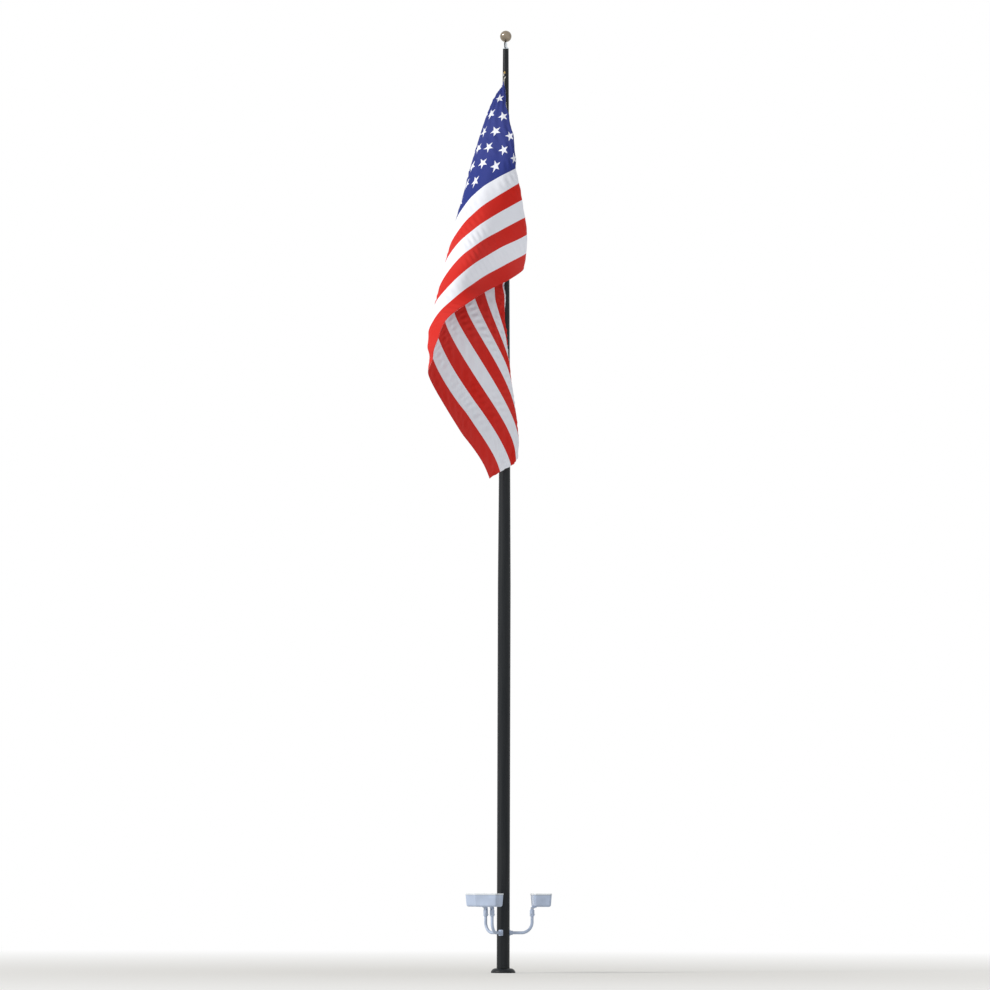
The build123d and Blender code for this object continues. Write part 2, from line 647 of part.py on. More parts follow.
def drape_rows():
    foot = (0, 0, -hoist_length())
    corner = outward(hoist_radius()) + Vector(0, 0, hoist_top())
    cloth_corner = corner + outward(HEADING_WIDTH)
    rows = []
    for row in range(CLOTH_ROWS + 1):
        reach = CLOTH_START + (1 - CLOTH_START) * row / CLOTH_ROWS
        hoist = bent_line(HOIST_LINE + [foot], reach) if row else Vector(*foot) * reach
        cloth = [cloth_corner + hoist]
        cloth += [cloth_corner + bent_line(line, reach) for line in CLOTH_LINES]
        rows.append([corner + hoist] + cloth)
    return rows


def drape_thicknesses():
    shares = [min(1, row / CLOTH_ROWS / CLOTH_FULL_AT) for row in range(CLOTH_ROWS + 1)]
    return [CLOTH_THICKNESS * (CLOTH_CORNER_SHARE + (1 - CLOTH_CORNER_SHARE) * share) for share in shares]


def flag_cloth():
    return sheet_solid(drape_rows(), drape_thicknesses(), 1, len(CLOTH_LINES) + 1)


def heading_tab(side, strip_end):
    eye = eye_height(side)
    tip = eye + side * TAB_MARGIN
    left = hoist_radius()
    right = left + HEADING_WIDTH - 2 * CLOTH_THICKNESS
    half = HEADING_THICKNESS / 2
    tab = block(left, right, -half, half, min(tip, strip_end), max(tip, strip_end))
    tab -= cross_pin(TAB_EYE / 2, link_radius(), eye, 2 * HEADING_THICKNESS)
    return turned_to(TRUCK_AZIMUTH, tab)


def flag_heading():
    strip = sheet_solid(drape_rows(), drape_thicknesses(), 0, 1)
    top = heading_tab(1, hoist_top() - (CLOTH_START + TAB_LAP) * hoist_length())
    foot = heading_tab(-1, hoist_top() - (1 - TAB_LAP) * hoist_length())
    return strip + top + foot


if __name__ == "__main__":
    os.makedirs("parts", exist_ok=True)
    pieces = {
        "pole_lower": pole_lower(),
        "pole_upper": pole_upper(),
        "splice_sleeve": splice_sleeve(),
        "flash_collar": flash_collar(),
        "door_frame": door_frame(),
        "access_door": access_door(),
        "door_lock": door_lock(),
        "truck_spindle": truck_spindle(),
        "truck_housing": truck_housing(),
        "sheave": sheave(),
        "sheave_pin": sheave_pin(),
        "finial_stem": finial_stem(),
        "finial_ball": finial_ball(),
        "halyard": halyard(),
        "top_snap": snap(POLE_HEIGHT - TOP_SNAP_DROP, 1),
        "lower_snap": snap(POLE_HEIGHT - TOP_SNAP_DROP - SNAP_SPACING, -1),
        "retainer_ring": retainer_ring(),
        "counterweight": counterweight(),
        "flag_heading": flag_heading(),
        "flag_cloth": flag_cloth(),
    }
    for number, azimuth in enumerate(ARM_AZIMUTHS, start=1):
        pieces[f"arm_saddle_{number}"] = turned_to(azimuth, arm_saddle())
        pieces[f"light_arm_{number}"] = turned_to(azimuth, light_arm())
        pieces[f"slipfitter_{number}"] = turned_to(azimuth, slipfitter())
        pieces[f"knuckle_bolt_{number}"] = turned_to(azimuth, knuckle_bolt())
        pieces[f"flood_housing_{number}"] = turned_to(azimuth, flood_housing())
        pieces[f"flood_door_{number}"] = turned_to(azimuth, flood_door())
        pieces[f"flood_lens_{number}"] = turned_to(azimuth, flood_lens())
        pieces[f"flood_reflector_{number}"] = turned_to(azimuth, flood_reflector())
    for node, solid in pieces.items():
        export_step(solid, f"parts/{node}.step")
        print(node)
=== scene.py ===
# %% [markdown]
# # A flagpole with a hanging flag and three floodlights
#
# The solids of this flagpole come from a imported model: shaft, truck, ball, halyard, arms and lamps are
# there at their real size. This lesson gives them their finishes, lets the flag's cloth fall into its long
# fold and adds the small things that a maker would fit last, such as screws, beads, gaskets and bulbs.

# %% Load the frame
import math

import bmesh
import bpy
import numpy as np
from mathutils import Matrix, Vector


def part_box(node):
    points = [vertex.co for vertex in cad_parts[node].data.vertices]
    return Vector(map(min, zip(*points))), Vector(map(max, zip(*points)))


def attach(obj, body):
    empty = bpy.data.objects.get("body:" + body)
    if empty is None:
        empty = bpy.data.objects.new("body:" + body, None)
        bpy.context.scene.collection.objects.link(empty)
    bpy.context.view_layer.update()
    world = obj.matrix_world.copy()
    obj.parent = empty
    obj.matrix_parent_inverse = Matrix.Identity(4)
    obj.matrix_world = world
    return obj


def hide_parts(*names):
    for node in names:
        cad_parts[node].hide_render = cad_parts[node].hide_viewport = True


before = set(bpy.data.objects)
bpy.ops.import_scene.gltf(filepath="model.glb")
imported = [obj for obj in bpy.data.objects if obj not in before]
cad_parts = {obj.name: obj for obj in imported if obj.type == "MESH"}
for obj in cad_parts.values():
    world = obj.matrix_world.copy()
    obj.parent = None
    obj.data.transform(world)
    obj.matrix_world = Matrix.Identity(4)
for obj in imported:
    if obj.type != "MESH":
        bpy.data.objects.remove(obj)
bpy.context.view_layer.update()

# %% [markdown]
# ## The camera
#
# An 18 m pole fills the picture from a long way off, so the lens is long and the horizon lies near the
# bottom. The camera could be turned by three angles, but the flag needs the ray behind a picture point as
# well. So the camera's three axes are worked out once as vectors, and both the camera and the rays use
# them.

# %% Camera and its rays
PICTURE_SIZE = 990
PICTURE_CENTRE = 495
FOCAL_PIXELS = 5081.6
SENSOR_WIDTH = 36.0
DISTANCE = 100.0
EYE_HEIGHT = 1.524
RISE_OF_AIM = 0.0787
POLE_AXIS_PIXEL = 504.53
POLE_LEAN = 0.003

eye = np.array([0.0, -DISTANCE, EYE_HEIGHT])
tilt = math.atan(RISE_OF_AIM)
swing = (PICTURE_CENTRE - POLE_AXIS_PIXEL) / FOCAL_PIXELS
look = np.array([math.sin(swing) * math.cos(tilt), math.cos(swing) * math.cos(tilt), math.sin(tilt)])
level = np.cross(look, [0.0, 0.0, 1.0])
level /= np.linalg.norm(level)
upright = np.cross(level, look)
right = level * math.cos(POLE_LEAN) + upright * math.sin(POLE_LEAN)
above = upright * math.cos(POLE_LEAN) - level * math.sin(POLE_LEAN)

lens = bpy.data.cameras.new("long_lens")
lens.sensor_width = SENSOR_WIDTH
lens.lens = FOCAL_PIXELS / PICTURE_SIZE * SENSOR_WIDTH
lens.clip_end = 1000.0
camera = bpy.data.objects.new("camera", lens)
bpy.context.scene.collection.objects.link(camera)
turn = Matrix([right, above, -look]).transposed().to_4x4()
camera.matrix_world = Matrix.Translation(Vector(eye)) @ turn
bpy.context.scene.camera = camera


def ray(across, down):
    """The direction in which the camera sees a picture point."""
    sideways = right * (across - PICTURE_CENTRE) / FOCAL_PIXELS
    way = look + sideways + above * (PICTURE_CENTRE - down) / FOCAL_PIXELS
    return way / np.linalg.norm(way)


def seen_at(across, down, depth):
    """The place behind a picture point at a depth along Y, where 0 is the shaft's axis."""
    way = ray(across, down)
    return eye + way * (depth + DISTANCE) / way[1]


def picture_points(places):
    """Where the camera sees an array of places: how far across and how far down."""
    sight = places - eye
    far = sight @ look
    across = PICTURE_CENTRE + FOCAL_PIXELS * (sight @ right) / far
    return across, PICTURE_CENTRE - FOCAL_PIXELS * (sight @ above) / far


print("lens:", round(lens.lens, 1), "mm")

# %% [markdown]
# ## Writing materials as sums
#
# A material is a network of nodes. Drawn by hand it is easy to read, but in a script each wire is a line
# of its own. Here a small class wraps one socket, so that arithmetic on it adds the Math nodes by itself,
# and a second class holds the material and has one method for every other kind of node.

# %% Helpers for materials
class Signal:
    """One number, colour or vector on its way through a material."""

    def __init__(self, finish, socket):
        self.finish = finish
        self.socket = socket

    def maths(self, operation, first, second):
        return self.finish.node("ShaderNodeMath", {"operation": operation}, {0: first, 1: second})

    def __add__(self, other):
        return self.maths("ADD", self, other)

    def __radd__(self, other):
        return self.maths("ADD", other, self)

    def __sub__(self, other):
        return self.maths("SUBTRACT", self, other)

    def __rsub__(self, other):
        return self.maths("SUBTRACT", other, self)

    def __mul__(self, other):
        return self.maths("MULTIPLY", self, other)

    def __rmul__(self, other):
        return self.maths("MULTIPLY", other, self)

    def __mod__(self, other):
        return self.maths("FLOORED_MODULO", self, other)

    def __gt__(self, other):
        return self.maths("GREATER_THAN", self, other)

    def __lt__(self, other):
        return self.maths("LESS_THAN", self, other)


class Finish:
    """One material, with its main shader and the sockets that stay the same all over."""

    def __init__(self, name, colour, **constants):
        self.material = bpy.data.materials.new(name)
        self.material.use_nodes = True
        self.tree = self.material.node_tree
        self.shader = self.tree.nodes["Principled BSDF"]
        self.shader.inputs["Base Color"].default_value = colour
        for socket, value in constants.items():
            self.shader.inputs[socket.replace("_", " ").title().replace("Ior", "IOR")].default_value = value

    def feed(self, socket, value):
        if isinstance(value, Signal):
            self.tree.links.new(value.socket, socket)
        else:
            socket.default_value = value

    def node(self, kind, settings=None, sockets=None, output=0):
        made = self.tree.nodes.new(kind)
        for name, value in (settings or {}).items():
            setattr(made, name, value)
        for name, value in (sockets or {}).items():
            self.feed(made.inputs[name], value)
        return Signal(self, made.outputs[output])

    def show(self, **signals):
        for socket, value in signals.items():
            self.feed(self.shader.inputs[socket.replace("_", " ").title()], value)

    def place(self):
        return self.node("ShaderNodeTexCoord", output="Object")

    def stretched(self, x, y, z):
        scaled = {"operation": "MULTIPLY"}
        return self.node("ShaderNodeVectorMath", scaled, {0: self.place(), 1: (x, y, z)})

    def noise(self, scale, where=None, detail=3.0):
        sockets = {"Vector": where or self.place(), "Scale": scale, "Detail": detail}
        return self.node("ShaderNodeTexNoise", sockets=sockets)

    def ramp(self, value, low, high):
        sockets = {"Value": value, "From Min": low, "From Max": high}
        return self.node("ShaderNodeMapRange", sockets=sockets)

    def between(self, share, first, second):
        return self.node("ShaderNodeMix", {"data_type": "RGBA"}, {0: share, 6: first, 7: second}, output=2)

    def relief(self, height, distance, strength=1.0):
        sockets = {"Height": height, "Distance": distance, "Strength": strength}
        self.show(Normal=self.node("ShaderNodeBump", sockets=sockets))


def paint(red, green, blue):
    """A colour card's 0 to 255 values as the linear colour that shaders use."""
    shares = [value / 255 for value in (red, green, blue)]
    linear = [share / 12.92 if share <= 0.04045 else ((share + 0.055) / 1.055) ** 2.4 for share in shares]
    return (*linear, 1.0)


finishes = {}


# %% [markdown]
# ## Shaft finish
#
# The shaft is spun aluminium tube with a dark bronze anodised coat. Spinning leaves fine rings round it
# and the weather leaves faint vertical streaks. A flat dark grey would look like plastic, so noise
# squeezed along Z makes the streaks, noise stretched the other way makes the rings, and both stay weak.

# %% Shaft finish
def shaft_finish():
    finish = Finish("shaft_finish", paint(24, 28, 32), metallic=0.1, specular_ior_level=0.25)
    streaks = finish.noise(14.0, finish.stretched(1.0, 1.0, 0.05), detail=5.0)
    rings = finish.noise(90.0, finish.stretched(0.05, 0.05, 1.0), detail=2.0)
    colour = finish.between(finish.ramp(streaks, 0.35, 0.7), paint(14, 19, 24), paint(31, 34, 37))
    finish.show(base_color=colour, roughness=0.34 + streaks * 0.22)
    finish.relief(rings * 0.4 + streaks * 0.6, 0.0006)
    return finish


finishes["shaft_finish"] = shaft_finish()
print("shaft finish:", len(finishes["shaft_finish"].tree.nodes), "nodes")


# %% [markdown]
# ## Powder coat on the lamps and arms
#
# The lamps are die castings under a pale powder coat. Powder coat is never quite smooth: it has an orange
# peel of a few millimetres, and dust settles on it. Orange peel is a bump of fine noise, and the dust is a
# wide, soft noise that shifts the colour a little.

# %% Powder coats
def powder_coat(name, pale, dusty, roughness):
    finish = Finish(name, pale, coat_weight=0.15, coat_roughness=0.3)
    dust = finish.noise(5.0, detail=4.0)
    peel = finish.noise(420.0, detail=1.0)
    finish.show(base_color=finish.between(finish.ramp(dust, 0.35, 0.75), pale, dusty))
    finish.show(roughness=roughness + dust * 0.15)
    finish.relief(peel, 0.0008, 0.6)
    return finish


finishes["light_paint"] = powder_coat("light_paint", paint(182, 197, 222), paint(164, 177, 200), 0.36)
finishes["door_paint"] = powder_coat("door_paint", paint(226, 232, 238), paint(206, 213, 220), 0.3)


# %% [markdown]
# ## Bare and plated metals
#
# Each bare metal differs in colour, in how rough it is and in the marks that its making leaves. One
# function could take a dozen numbers, but four do: two colours, the roughness and the size of the marks.
# The marks are noise that also moves the roughness, because a scratch shows as a change of gloss before it
# shows as a shape.

# %% Metals
def bare_metal(name, bright, dull, roughness, marks):
    finish = Finish(name, bright, metallic=1.0)
    wear = finish.noise(marks * 0.15, detail=6.0)
    scratches = finish.noise(marks, finish.stretched(1.0, 1.0, 0.15), detail=4.0)
    finish.show(base_color=finish.between(finish.ramp(wear, 0.4, 0.8), bright, dull))
    finish.show(roughness=roughness + finish.ramp(scratches, 0.4, 0.8) * 0.18)
    finish.relief(scratches, 0.0002, 0.5)
    return finish


# Metals: bright colour, dull colour, roughness, marks to the metre
METALS = {
    "mill_aluminium": ((205, 207, 210), (160, 163, 166), 0.4, 220.0),
    "truck_metal": ((214, 220, 226), (184, 190, 196), 0.36, 160.0),
    "sheave_metal": ((196, 198, 200), (150, 152, 154), 0.3, 300.0),
    "bolt_steel": ((200, 202, 204), (150, 148, 142), 0.32, 400.0),
    "lock_metal": ((222, 222, 220), (176, 174, 170), 0.18, 500.0),
    "snap_metal": ((196, 166, 104), (128, 104, 62), 0.34, 350.0),
    "reflector": ((236, 238, 240), (214, 216, 218), 0.14, 120.0),
    "ball_metal": ((146, 135, 120), (108, 98, 86), 0.2, 40.0),
}
for metal, (bright, dull, roughness, marks) in METALS.items():
    finishes[metal] = bare_metal(metal, paint(*bright), paint(*dull), roughness, marks)


# %% [markdown]
# ## Glass, rubber and plastic
#
# The lens is tempered glass with a film of dust. The weight's cover, the gaskets and the beads are dark,
# soft materials, which a fine noise keeps from looking like painted metal.

# %% Glass, rubber and plastic
def lens_glass():
    finish = Finish("lens_glass", paint(238, 244, 246), transmission_weight=1.0, ior=1.5)
    finish.show(roughness=finish.ramp(finish.noise(9.0, detail=5.0), 0.45, 1.0) * 0.2 + 0.02)
    return finish


def soft_dark(name, colour, worn, roughness, grain):
    finish = Finish(name, colour)
    mottle = finish.noise(grain, detail=4.0)
    finish.show(base_color=finish.between(finish.ramp(mottle, 0.4, 0.8), colour, worn))
    finish.show(roughness=roughness + mottle * 0.2)
    finish.relief(mottle, 0.0006, 0.7)
    return finish


finishes["lens_glass"] = lens_glass()
finishes["weight_cover"] = soft_dark("weight_cover", paint(44, 45, 46), paint(66, 66, 66), 0.6, 260.0)
finishes["bead_plastic"] = soft_dark("bead_plastic", paint(40, 41, 43), paint(60, 60, 62), 0.35, 320.0)
finishes["gasket_rubber"] = soft_dark("gasket_rubber", paint(30, 30, 31), paint(48, 48, 48), 0.7, 300.0)


# %% [markdown]
# ## Rope and canvas
#
# A braided rope shows two sets of slanting strands. Two waves that lean opposite ways, multiplied, give
# the diamond pattern of the braid without any geometry. Canvas is the same thing with the waves square to
# each other. Where the product is low, between the strands, the colour is darker: painted shade in the
# grooves.

# %% Rope and canvas
def slanted_wave(finish, direction, scale):
    """Bands along a direction, as a height from 0 to 1."""
    vector = {"operation": "DOT_PRODUCT"}
    along = finish.node("ShaderNodeVectorMath", vector, {0: finish.place(), 1: direction}, output="Value")
    return finish.node("ShaderNodeMath", {"operation": "SINE"}, {0: along * scale}) * 0.5 + 0.5


def woven(name, pale, painted_groove_shade, first, second, scale, depth):
    finish = Finish(name, pale, roughness=0.8, sheen_weight=0.2)
    threads = slanted_wave(finish, first, scale) * slanted_wave(finish, second, scale)
    # Darker colour where the threads are low is painted shade in the grooves between strands
    finish.show(base_color=finish.between(finish.ramp(threads, 0.0, 0.5), painted_groove_shade, pale))
    finish.relief(threads, depth)
    return finish


# The second colour of each is the painted shade between the strands or threads
finishes["rope"] = woven(
    "rope", paint(74, 76, 78), paint(44, 46, 48), (1.0, 1.0, 1.0), (1.0, 1.0, -1.0), 900.0, 0.0012)
finishes["heading_canvas"] = woven(
    "heading_canvas", paint(238, 236, 228), paint(206, 203, 194), (1.0, 1.0, 0.0), (0.0, 0.0, 1.0), 2400.0,
    0.0005)


# %% [markdown]
# ## Dressing the solids
#
# Every solid names the finish that it was packed with, so one loop over the nodes gives each its new
# material.

# %% Dress the nodes
def dress(node):
    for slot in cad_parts[node].material_slots:
        name = slot.material.name.split(".")[0]
        if name in finishes:
            slot.material = finishes[name].material


packed_names = {}
for node_name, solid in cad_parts.items():
    packed_names[node_name] = [slot.material.name for slot in solid.material_slots]
    dress(node_name)
print("dressed:", len(packed_names), "nodes")

# %% [markdown]
# ## How the flag hangs
#
# The flag is a rectangle of woven nylon, 7.62 m on the fly and 4.572 m on the hoist. With no wind its
# whole weight hangs from the top corner, and it falls into one long fold: the hoist half lies in front and
# the fly half behind. A cloth simulation from a flat start would find some fold, but not this one. Instead
# the shown part is a thin plate bent past places on its stars, seams and edges. Each place has a picture
# point, a guessed depth, and how far along and down the cloth it lies. On the edge, front and back seams
# the distances along the cloth began as the output of another program, which added them up from place to
# place. Thirteen are still that output, and the others were changed since. The plate isn't held to the
# cloth's own lengths, so it is too short in some places and too long in others. Only the hidden part is
# let back to its lengths.

# %% Flag sizes and guides
FLY = 7.62
HOIST = 4.572
HEADING = 0.08
STRIPE = HOIST / 13
CANTON_LENGTH = 0.4 * FLY
CANTON_HEIGHT = 7 * STRIPE
STAR_COLUMN = CANTON_LENGTH / 12
STAR_ROW = CANTON_HEIGHT / 10
STAR_RADIUS = 0.027 * HOIST

heading_low, heading_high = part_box("flag_heading")
TRUCK_BEARING = math.radians(258)
CORNER_REACH = 0.1803
TAB = 0.074
corner_x = CORNER_REACH * math.cos(TRUCK_BEARING)
corner_y = CORNER_REACH * math.sin(TRUCK_BEARING)
top_corner = np.array([corner_x, corner_y, heading_high[2] - TAB])
low_corner = np.array([corner_x, corner_y, heading_low[2] + TAB])
print("corners:", top_corner.round(4), low_corner.round(4))

# Guides: along the cloth, down the cloth in stripes, picture point, depth
EDGE_GUIDES = [
    (0.74, 13, 524.0, 268.8, -0.52), (1.42, 13, 508.2, 280.5, -1.08), (2.23, 13, 484.7, 292.3, -1.70),
    (2.91, 13, 465.1, 305.3, -2.20), (3.53, 13, 445.0, 321.3, -2.44), (3.91, 13, 438.8, 338.8, -2.38),
    (4.35, 13, 433.8, 359.3, -2.20), (4.70, 13, 427.0, 372.0, -2.05), (5.43, 13, 443.7, 404.2, -1.95),
    (6.23, 13, 462.5, 434.9, -1.62), (7.62, 13, 489.4, 478.6, -0.75), (7.62, 12, 500.1, 471.9, -0.55),
    (7.62, 11, 511.4, 465.7, -0.42), (7.62, 0, 497.0, 432.0, -0.10),
]
HOIST_GUIDES = [
    (0.35, 0.8, 498.9, 88.0, -0.40), (0.15, 1.1, 503.0, 88.5, -0.46), (0.03, 1.2, 506.2, 87.5, -0.44),
    (-0.08, 1.2, 503.4, 87.0, -0.38), (0.62, 1.2, 494.6, 98.0, -0.62),
    (0.05, 2.1, 508.0, 97.5, -0.72), (0.00, 2.1, 506.3, 97.0, -0.66), (-0.08, 2.1, 503.2, 96.5, -0.56),
    (0.09, 3.5, 510.8, 115.0, -1.00), (0.00, 3.5, 508.3, 114.0, -0.91), (-0.08, 3.5, 505.6, 113.0, -0.82),
    (0.13, 4.9, 515.2, 135.0, -1.25), (0.00, 4.9, 512.0, 134.0, -1.16), (-0.08, 4.9, 509.4, 133.0, -1.08),
    (0.16, 6.3, 517.3, 158.0, -1.40), (0.00, 6.3, 513.8, 157.0, -1.28), (-0.08, 6.3, 511.0, 156.0, -1.18),
    (0.00, 10, 513.0, 222.0, -0.85),
]
TOP_GUIDES = [
    (1.00, 0, 501.0, 122.0, -0.45), (2.00, 0, 498.0, 172.0, -0.45), (3.05, 0, 496.0, 222.0, -0.30),
    (5.00, 0, 497.0, 312.0, -0.15),
]
FRONT_GUIDES = [
    (0.22, 7, 515.3, 168.2, -1.42), (0.75, 7, 496.1, 178.6, -1.60), (1.20, 7, 477.4, 191.1, -1.60),
    (1.72, 7, 461.3, 209.8, -1.45), (2.03, 7, 455.9, 220.5, -1.30), (0.28, 8, 518.9, 183.0, -1.38),
    (0.96, 8, 493.4, 198.7, -1.64), (1.53, 8, 472.0, 215.2, -1.62), (2.07, 8, 455.9, 234.8, -1.42),
    (2.42, 8, 449.0, 248.0, -1.20), (0.36, 9, 522.4, 199.4, -1.27), (0.95, 9, 500.6, 211.6, -1.58),
    (1.51, 9, 479.1, 225.0, -1.72), (2.10, 9, 459.5, 241.1, -1.65), (2.64, 9, 444.8, 263.0, -1.40),
    (0.45, 10, 525.5, 217.2, -1.12), (1.19, 10, 497.9, 232.1, -1.56), (1.90, 10, 472.0, 248.2, -1.82),
    (2.50, 10, 452.4, 266.1, -1.75), (2.94, 10, 438.6, 288.0, -1.52), (0.54, 11, 527.3, 234.0, -0.95),
    (1.22, 11, 502.4, 246.4, -1.42), (1.99, 11, 475.6, 262.5, -1.88), (2.66, 11, 453.3, 281.3, -1.98),
    (3.18, 11, 434.9, 303.0, -1.82), (0.63, 12, 526.5, 253.0, -0.75), (1.47, 12, 497.9, 268.8, -1.28),
    (2.27, 12, 472.0, 284.8, -1.85), (2.92, 12, 450.0, 302.0, -2.12), (3.66, 12, 427.5, 331.0, -1.98),
]
HIDDEN_GUIDES = [
    (3.20, 7, 468.0, 260.0, -0.40), (3.35, 8, 460.0, 277.0, -0.60), (3.45, 9, 454.0, 289.0, -0.88),
    (3.61, 10, 444.5, 308.0, -1.20), (3.84, 11, 436.5, 326.0, -1.62), (4.22, 12, 429.5, 347.0, -1.98),
    (4.16, 12.4, 425.8, 348.0, -2.12),
]
BACK_GUIDES = [
    (4.78, 12, 433.7, 359.8, -1.80), (6.20, 12, 466.0, 412.0, -1.25), (6.15, 11, 475.0, 402.0, -1.02),
    (4.48, 11, 438.8, 338.8, -1.60), (4.28, 10, 445.0, 321.3, -1.45), (4.29, 9, 454.4, 313.3, -1.20),
    (4.32, 8, 465.1, 305.3, -0.97), (4.33, 7, 474.9, 298.6, -0.71), (4.34, 6, 484.7, 292.3, -0.44),
    (7.45, 10, 515.5, 455.0, -0.38), (7.30, 9, 519.5, 443.8, -0.36), (6.87, 8, 517.0, 419.0, -0.34),
    (6.41, 7, 513.5, 394.0, -0.32), (5.87, 6, 510.0, 364.7, -0.30),
]

TURNED_GUIDES = [
    (4.25, 5, 495.0, 299.0, -0.33), (4.30, 4, 504.6, 303.0, -0.25), (5.00, 5, 504.8, 332.0, -0.27),
    (3.90, 4, 504.4, 288.0, -0.26),
    (6.05, 5, 504.0, 366.0, -0.18), (6.55, 6, 507.0, 394.0, -0.20), (7.05, 7, 510.5, 420.0, -0.22),
    (7.50, 8, 512.0, 443.0, -0.22),
]

# Stars: column, row, picture point, depth
STAR_GUIDES = [
    (1, 3, 498.5, 97.8, -0.74), (2, 4, 490.8, 114.1, -0.85), (3, 5, 483.7, 132.2, -0.92),
    (4, 6, 478.6, 148.0, -1.03), (5, 7, 471.9, 167.1, -1.03), (1, 5, 502.3, 115.9, -1.02),
    (2, 6, 495.4, 131.1, -1.14), (3, 7, 488.0, 147.2, -1.23), (4, 8, 482.9, 162.9, -1.34),
    (5, 9, 475.8, 180.9, -1.38), (1, 7, 509.4, 135.7, -1.28), (2, 8, 503.8, 149.8, -1.40),
    (3, 9, 496.2, 165.8, -1.49), (1, 9, 513.1, 158.8, -1.45),
]

guides = [(column * STAR_COLUMN, row * STAR_ROW, *seen) for column, row, *seen in STAR_GUIDES]
for group in (EDGE_GUIDES, HOIST_GUIDES, TOP_GUIDES, FRONT_GUIDES, HIDDEN_GUIDES, BACK_GUIDES, TURNED_GUIDES):
    guides += [(along, seam * STRIPE, *seen) for along, seam, *seen in group]
guides = np.array(guides)
guide_places = np.array([seen_at(*seen) for seen in guides[:, 2:]])
print("guides:", len(guides))

# %% [markdown]
# The hidden cloth must not show beside the shown part. So two lists give the left and the right limit of
# the flag at some heights in the picture, and the hidden points are kept between them, a little inside.

# %% Outline of the hanging cloth
LEFT_LIMIT = [
    (76, 503.0), (98, 494.3), (114, 488.3), (132, 481.8), (148, 476.3), (167, 469.8), (217, 457.0),
    (241, 451.0), (261, 444.5), (285, 438.8), (301, 434.8), (331, 426.8), (350, 425.6), (371, 426.5),
    (378, 428.3), (404, 443.5), (435, 462.3), (468, 483.2), (479, 489.2),
]
RIGHT_LIMIT = [
    (76, 505.5), (88, 507.2), (100, 509.2), (118, 512.2), (136, 516.0), (155, 517.4), (170, 518.2),
    (183, 519.2), (199, 522.7), (217, 525.7), (234, 527.4), (253, 526.8), (266, 524.6), (273, 520.4),
    (281, 508.2), (285, 504.8), (326, 505.2), (336, 508.6), (345, 509.7), (365, 510.7), (380, 512.6),
    (394, 514.1), (419, 517.5), (444, 520.0), (458, 518.2), (463, 517.0), (466, 511.6), (472, 500.3),
    (479, 489.6),
]
HIDDEN_MARGIN = 3.0
FRONT_LIMIT = -0.90
BACK_LIMIT = 0.30
left_down, left_across = np.array(LEFT_LIMIT).T
right_down, right_across = np.array(RIGHT_LIMIT).T


def inside_outline(sheet):
    """Keeps the hidden cloth behind the shown part, a little inside the outline."""
    across, down = picture_points(sheet)
    low = np.interp(down, left_down, left_across) + HIDDEN_MARGIN
    high = np.interp(down, right_down, right_across) - HIDDEN_MARGIN
    shift = np.clip(across, low, np.maximum(high, low)) - across
    sheet = sheet + right * (shift * DISTANCE / FOCAL_PIXELS)[..., None]
    sheet[..., 1] = np.clip(sheet[..., 1], FRONT_LIMIT, BACK_LIMIT)
    return sheet


# %% [markdown]
# ## Letting the threads find their length
#
# The shown part of the flag is a thin plate, bent to pass close to every guide and to stay smooth between
# them. Behind it the cloth is free. It is a grid of points with threads between neighbours, and each step
# moves the two ends of a thread so that it gets nearer to its rest length. The cloth that has no room
# folds by itself, and starting on a coarse grid lets the big folds settle before the fine grid adds its
# small ones.
#
# Each hidden point is pushed out of the shaft by itself. That doesn't keep the sheet between two points
# out, and in one place, 13.65 m up, the shaft goes through the hidden cloth.

# %% Relaxing the sheet
PLATE_SLACK = 0.06
BENDING = 0.3
SLANTING = 0.3
DAMPING = 0.9
SHAFT_CLEARANCE = 0.03
FRONT_ANGLES = (35.0, 43.0)
BACK_ANGLES = (13.0, 18.0)
BACK_REACH = (3.5, 4.2)
TINY = 1e-9
TINY_SQUARE = 1e-12
TINY_REACH = 1e-6


def flat_grid(across, down):
    along = np.linspace(-HEADING, FLY, across + 1)
    drop = np.linspace(0.0, HOIST, down + 1)
    return np.stack(np.meshgrid(along, drop), axis=-1)


def bent_plate(flat):
    """A smooth surface that passes close to every guide, nearer with less slack."""
    pins = np.array([(-HEADING, 0.0), (-HEADING, HOIST)])
    spots = np.concatenate([pins, guides[:, :2]])
    places = np.concatenate([[top_corner, low_corner], guide_places])

    def bending(one, two):
        square = ((one[:, None] - two[None]) ** 2).sum(axis=-1) + TINY_SQUARE
        return square * np.log(square)

    def tilted(points):
        return np.column_stack([np.ones(len(points)), points])

    count = len(spots)
    system = np.zeros((count + 3, count + 3))
    system[:count, :count] = bending(spots, spots) + PLATE_SLACK * np.eye(count)
    system[:count, count:] = tilted(spots)
    system[count:, :count] = tilted(spots).T
    weights = np.linalg.solve(system, np.concatenate([places, np.zeros((3, 3))]))
    points = flat.reshape(-1, 2)
    bent = bending(points, spots) @ weights[:count] + tilted(points) @ weights[count:]
    return bent.reshape(*flat.shape[:2], 3)


def threads(flat, bending, slanting):
    """Pairs of slices of the grid with their rest lengths and stiffness."""
    every = slice(None)
    first, second = slice(0, -1), slice(1, None)
    near, far = slice(0, -2), slice(2, None)
    pairs = [
        ((every, first), (every, second), 1.0),
        ((first, every), (second, every), 1.0),
        ((first, first), (second, second), slanting),
        ((first, second), (second, first), slanting),
        ((every, near), (every, far), bending),
        ((near, every), (far, every), bending),
    ]
    return [(one, two, np.linalg.norm(flat[two] - flat[one], axis=-1), stiff) for one, two, stiff in pairs]


taper_foot, taper_top = (corner[2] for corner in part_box("pole_upper"))
foot_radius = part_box("pole_upper")[1][0]
top_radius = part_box("truck_spindle")[1][0]


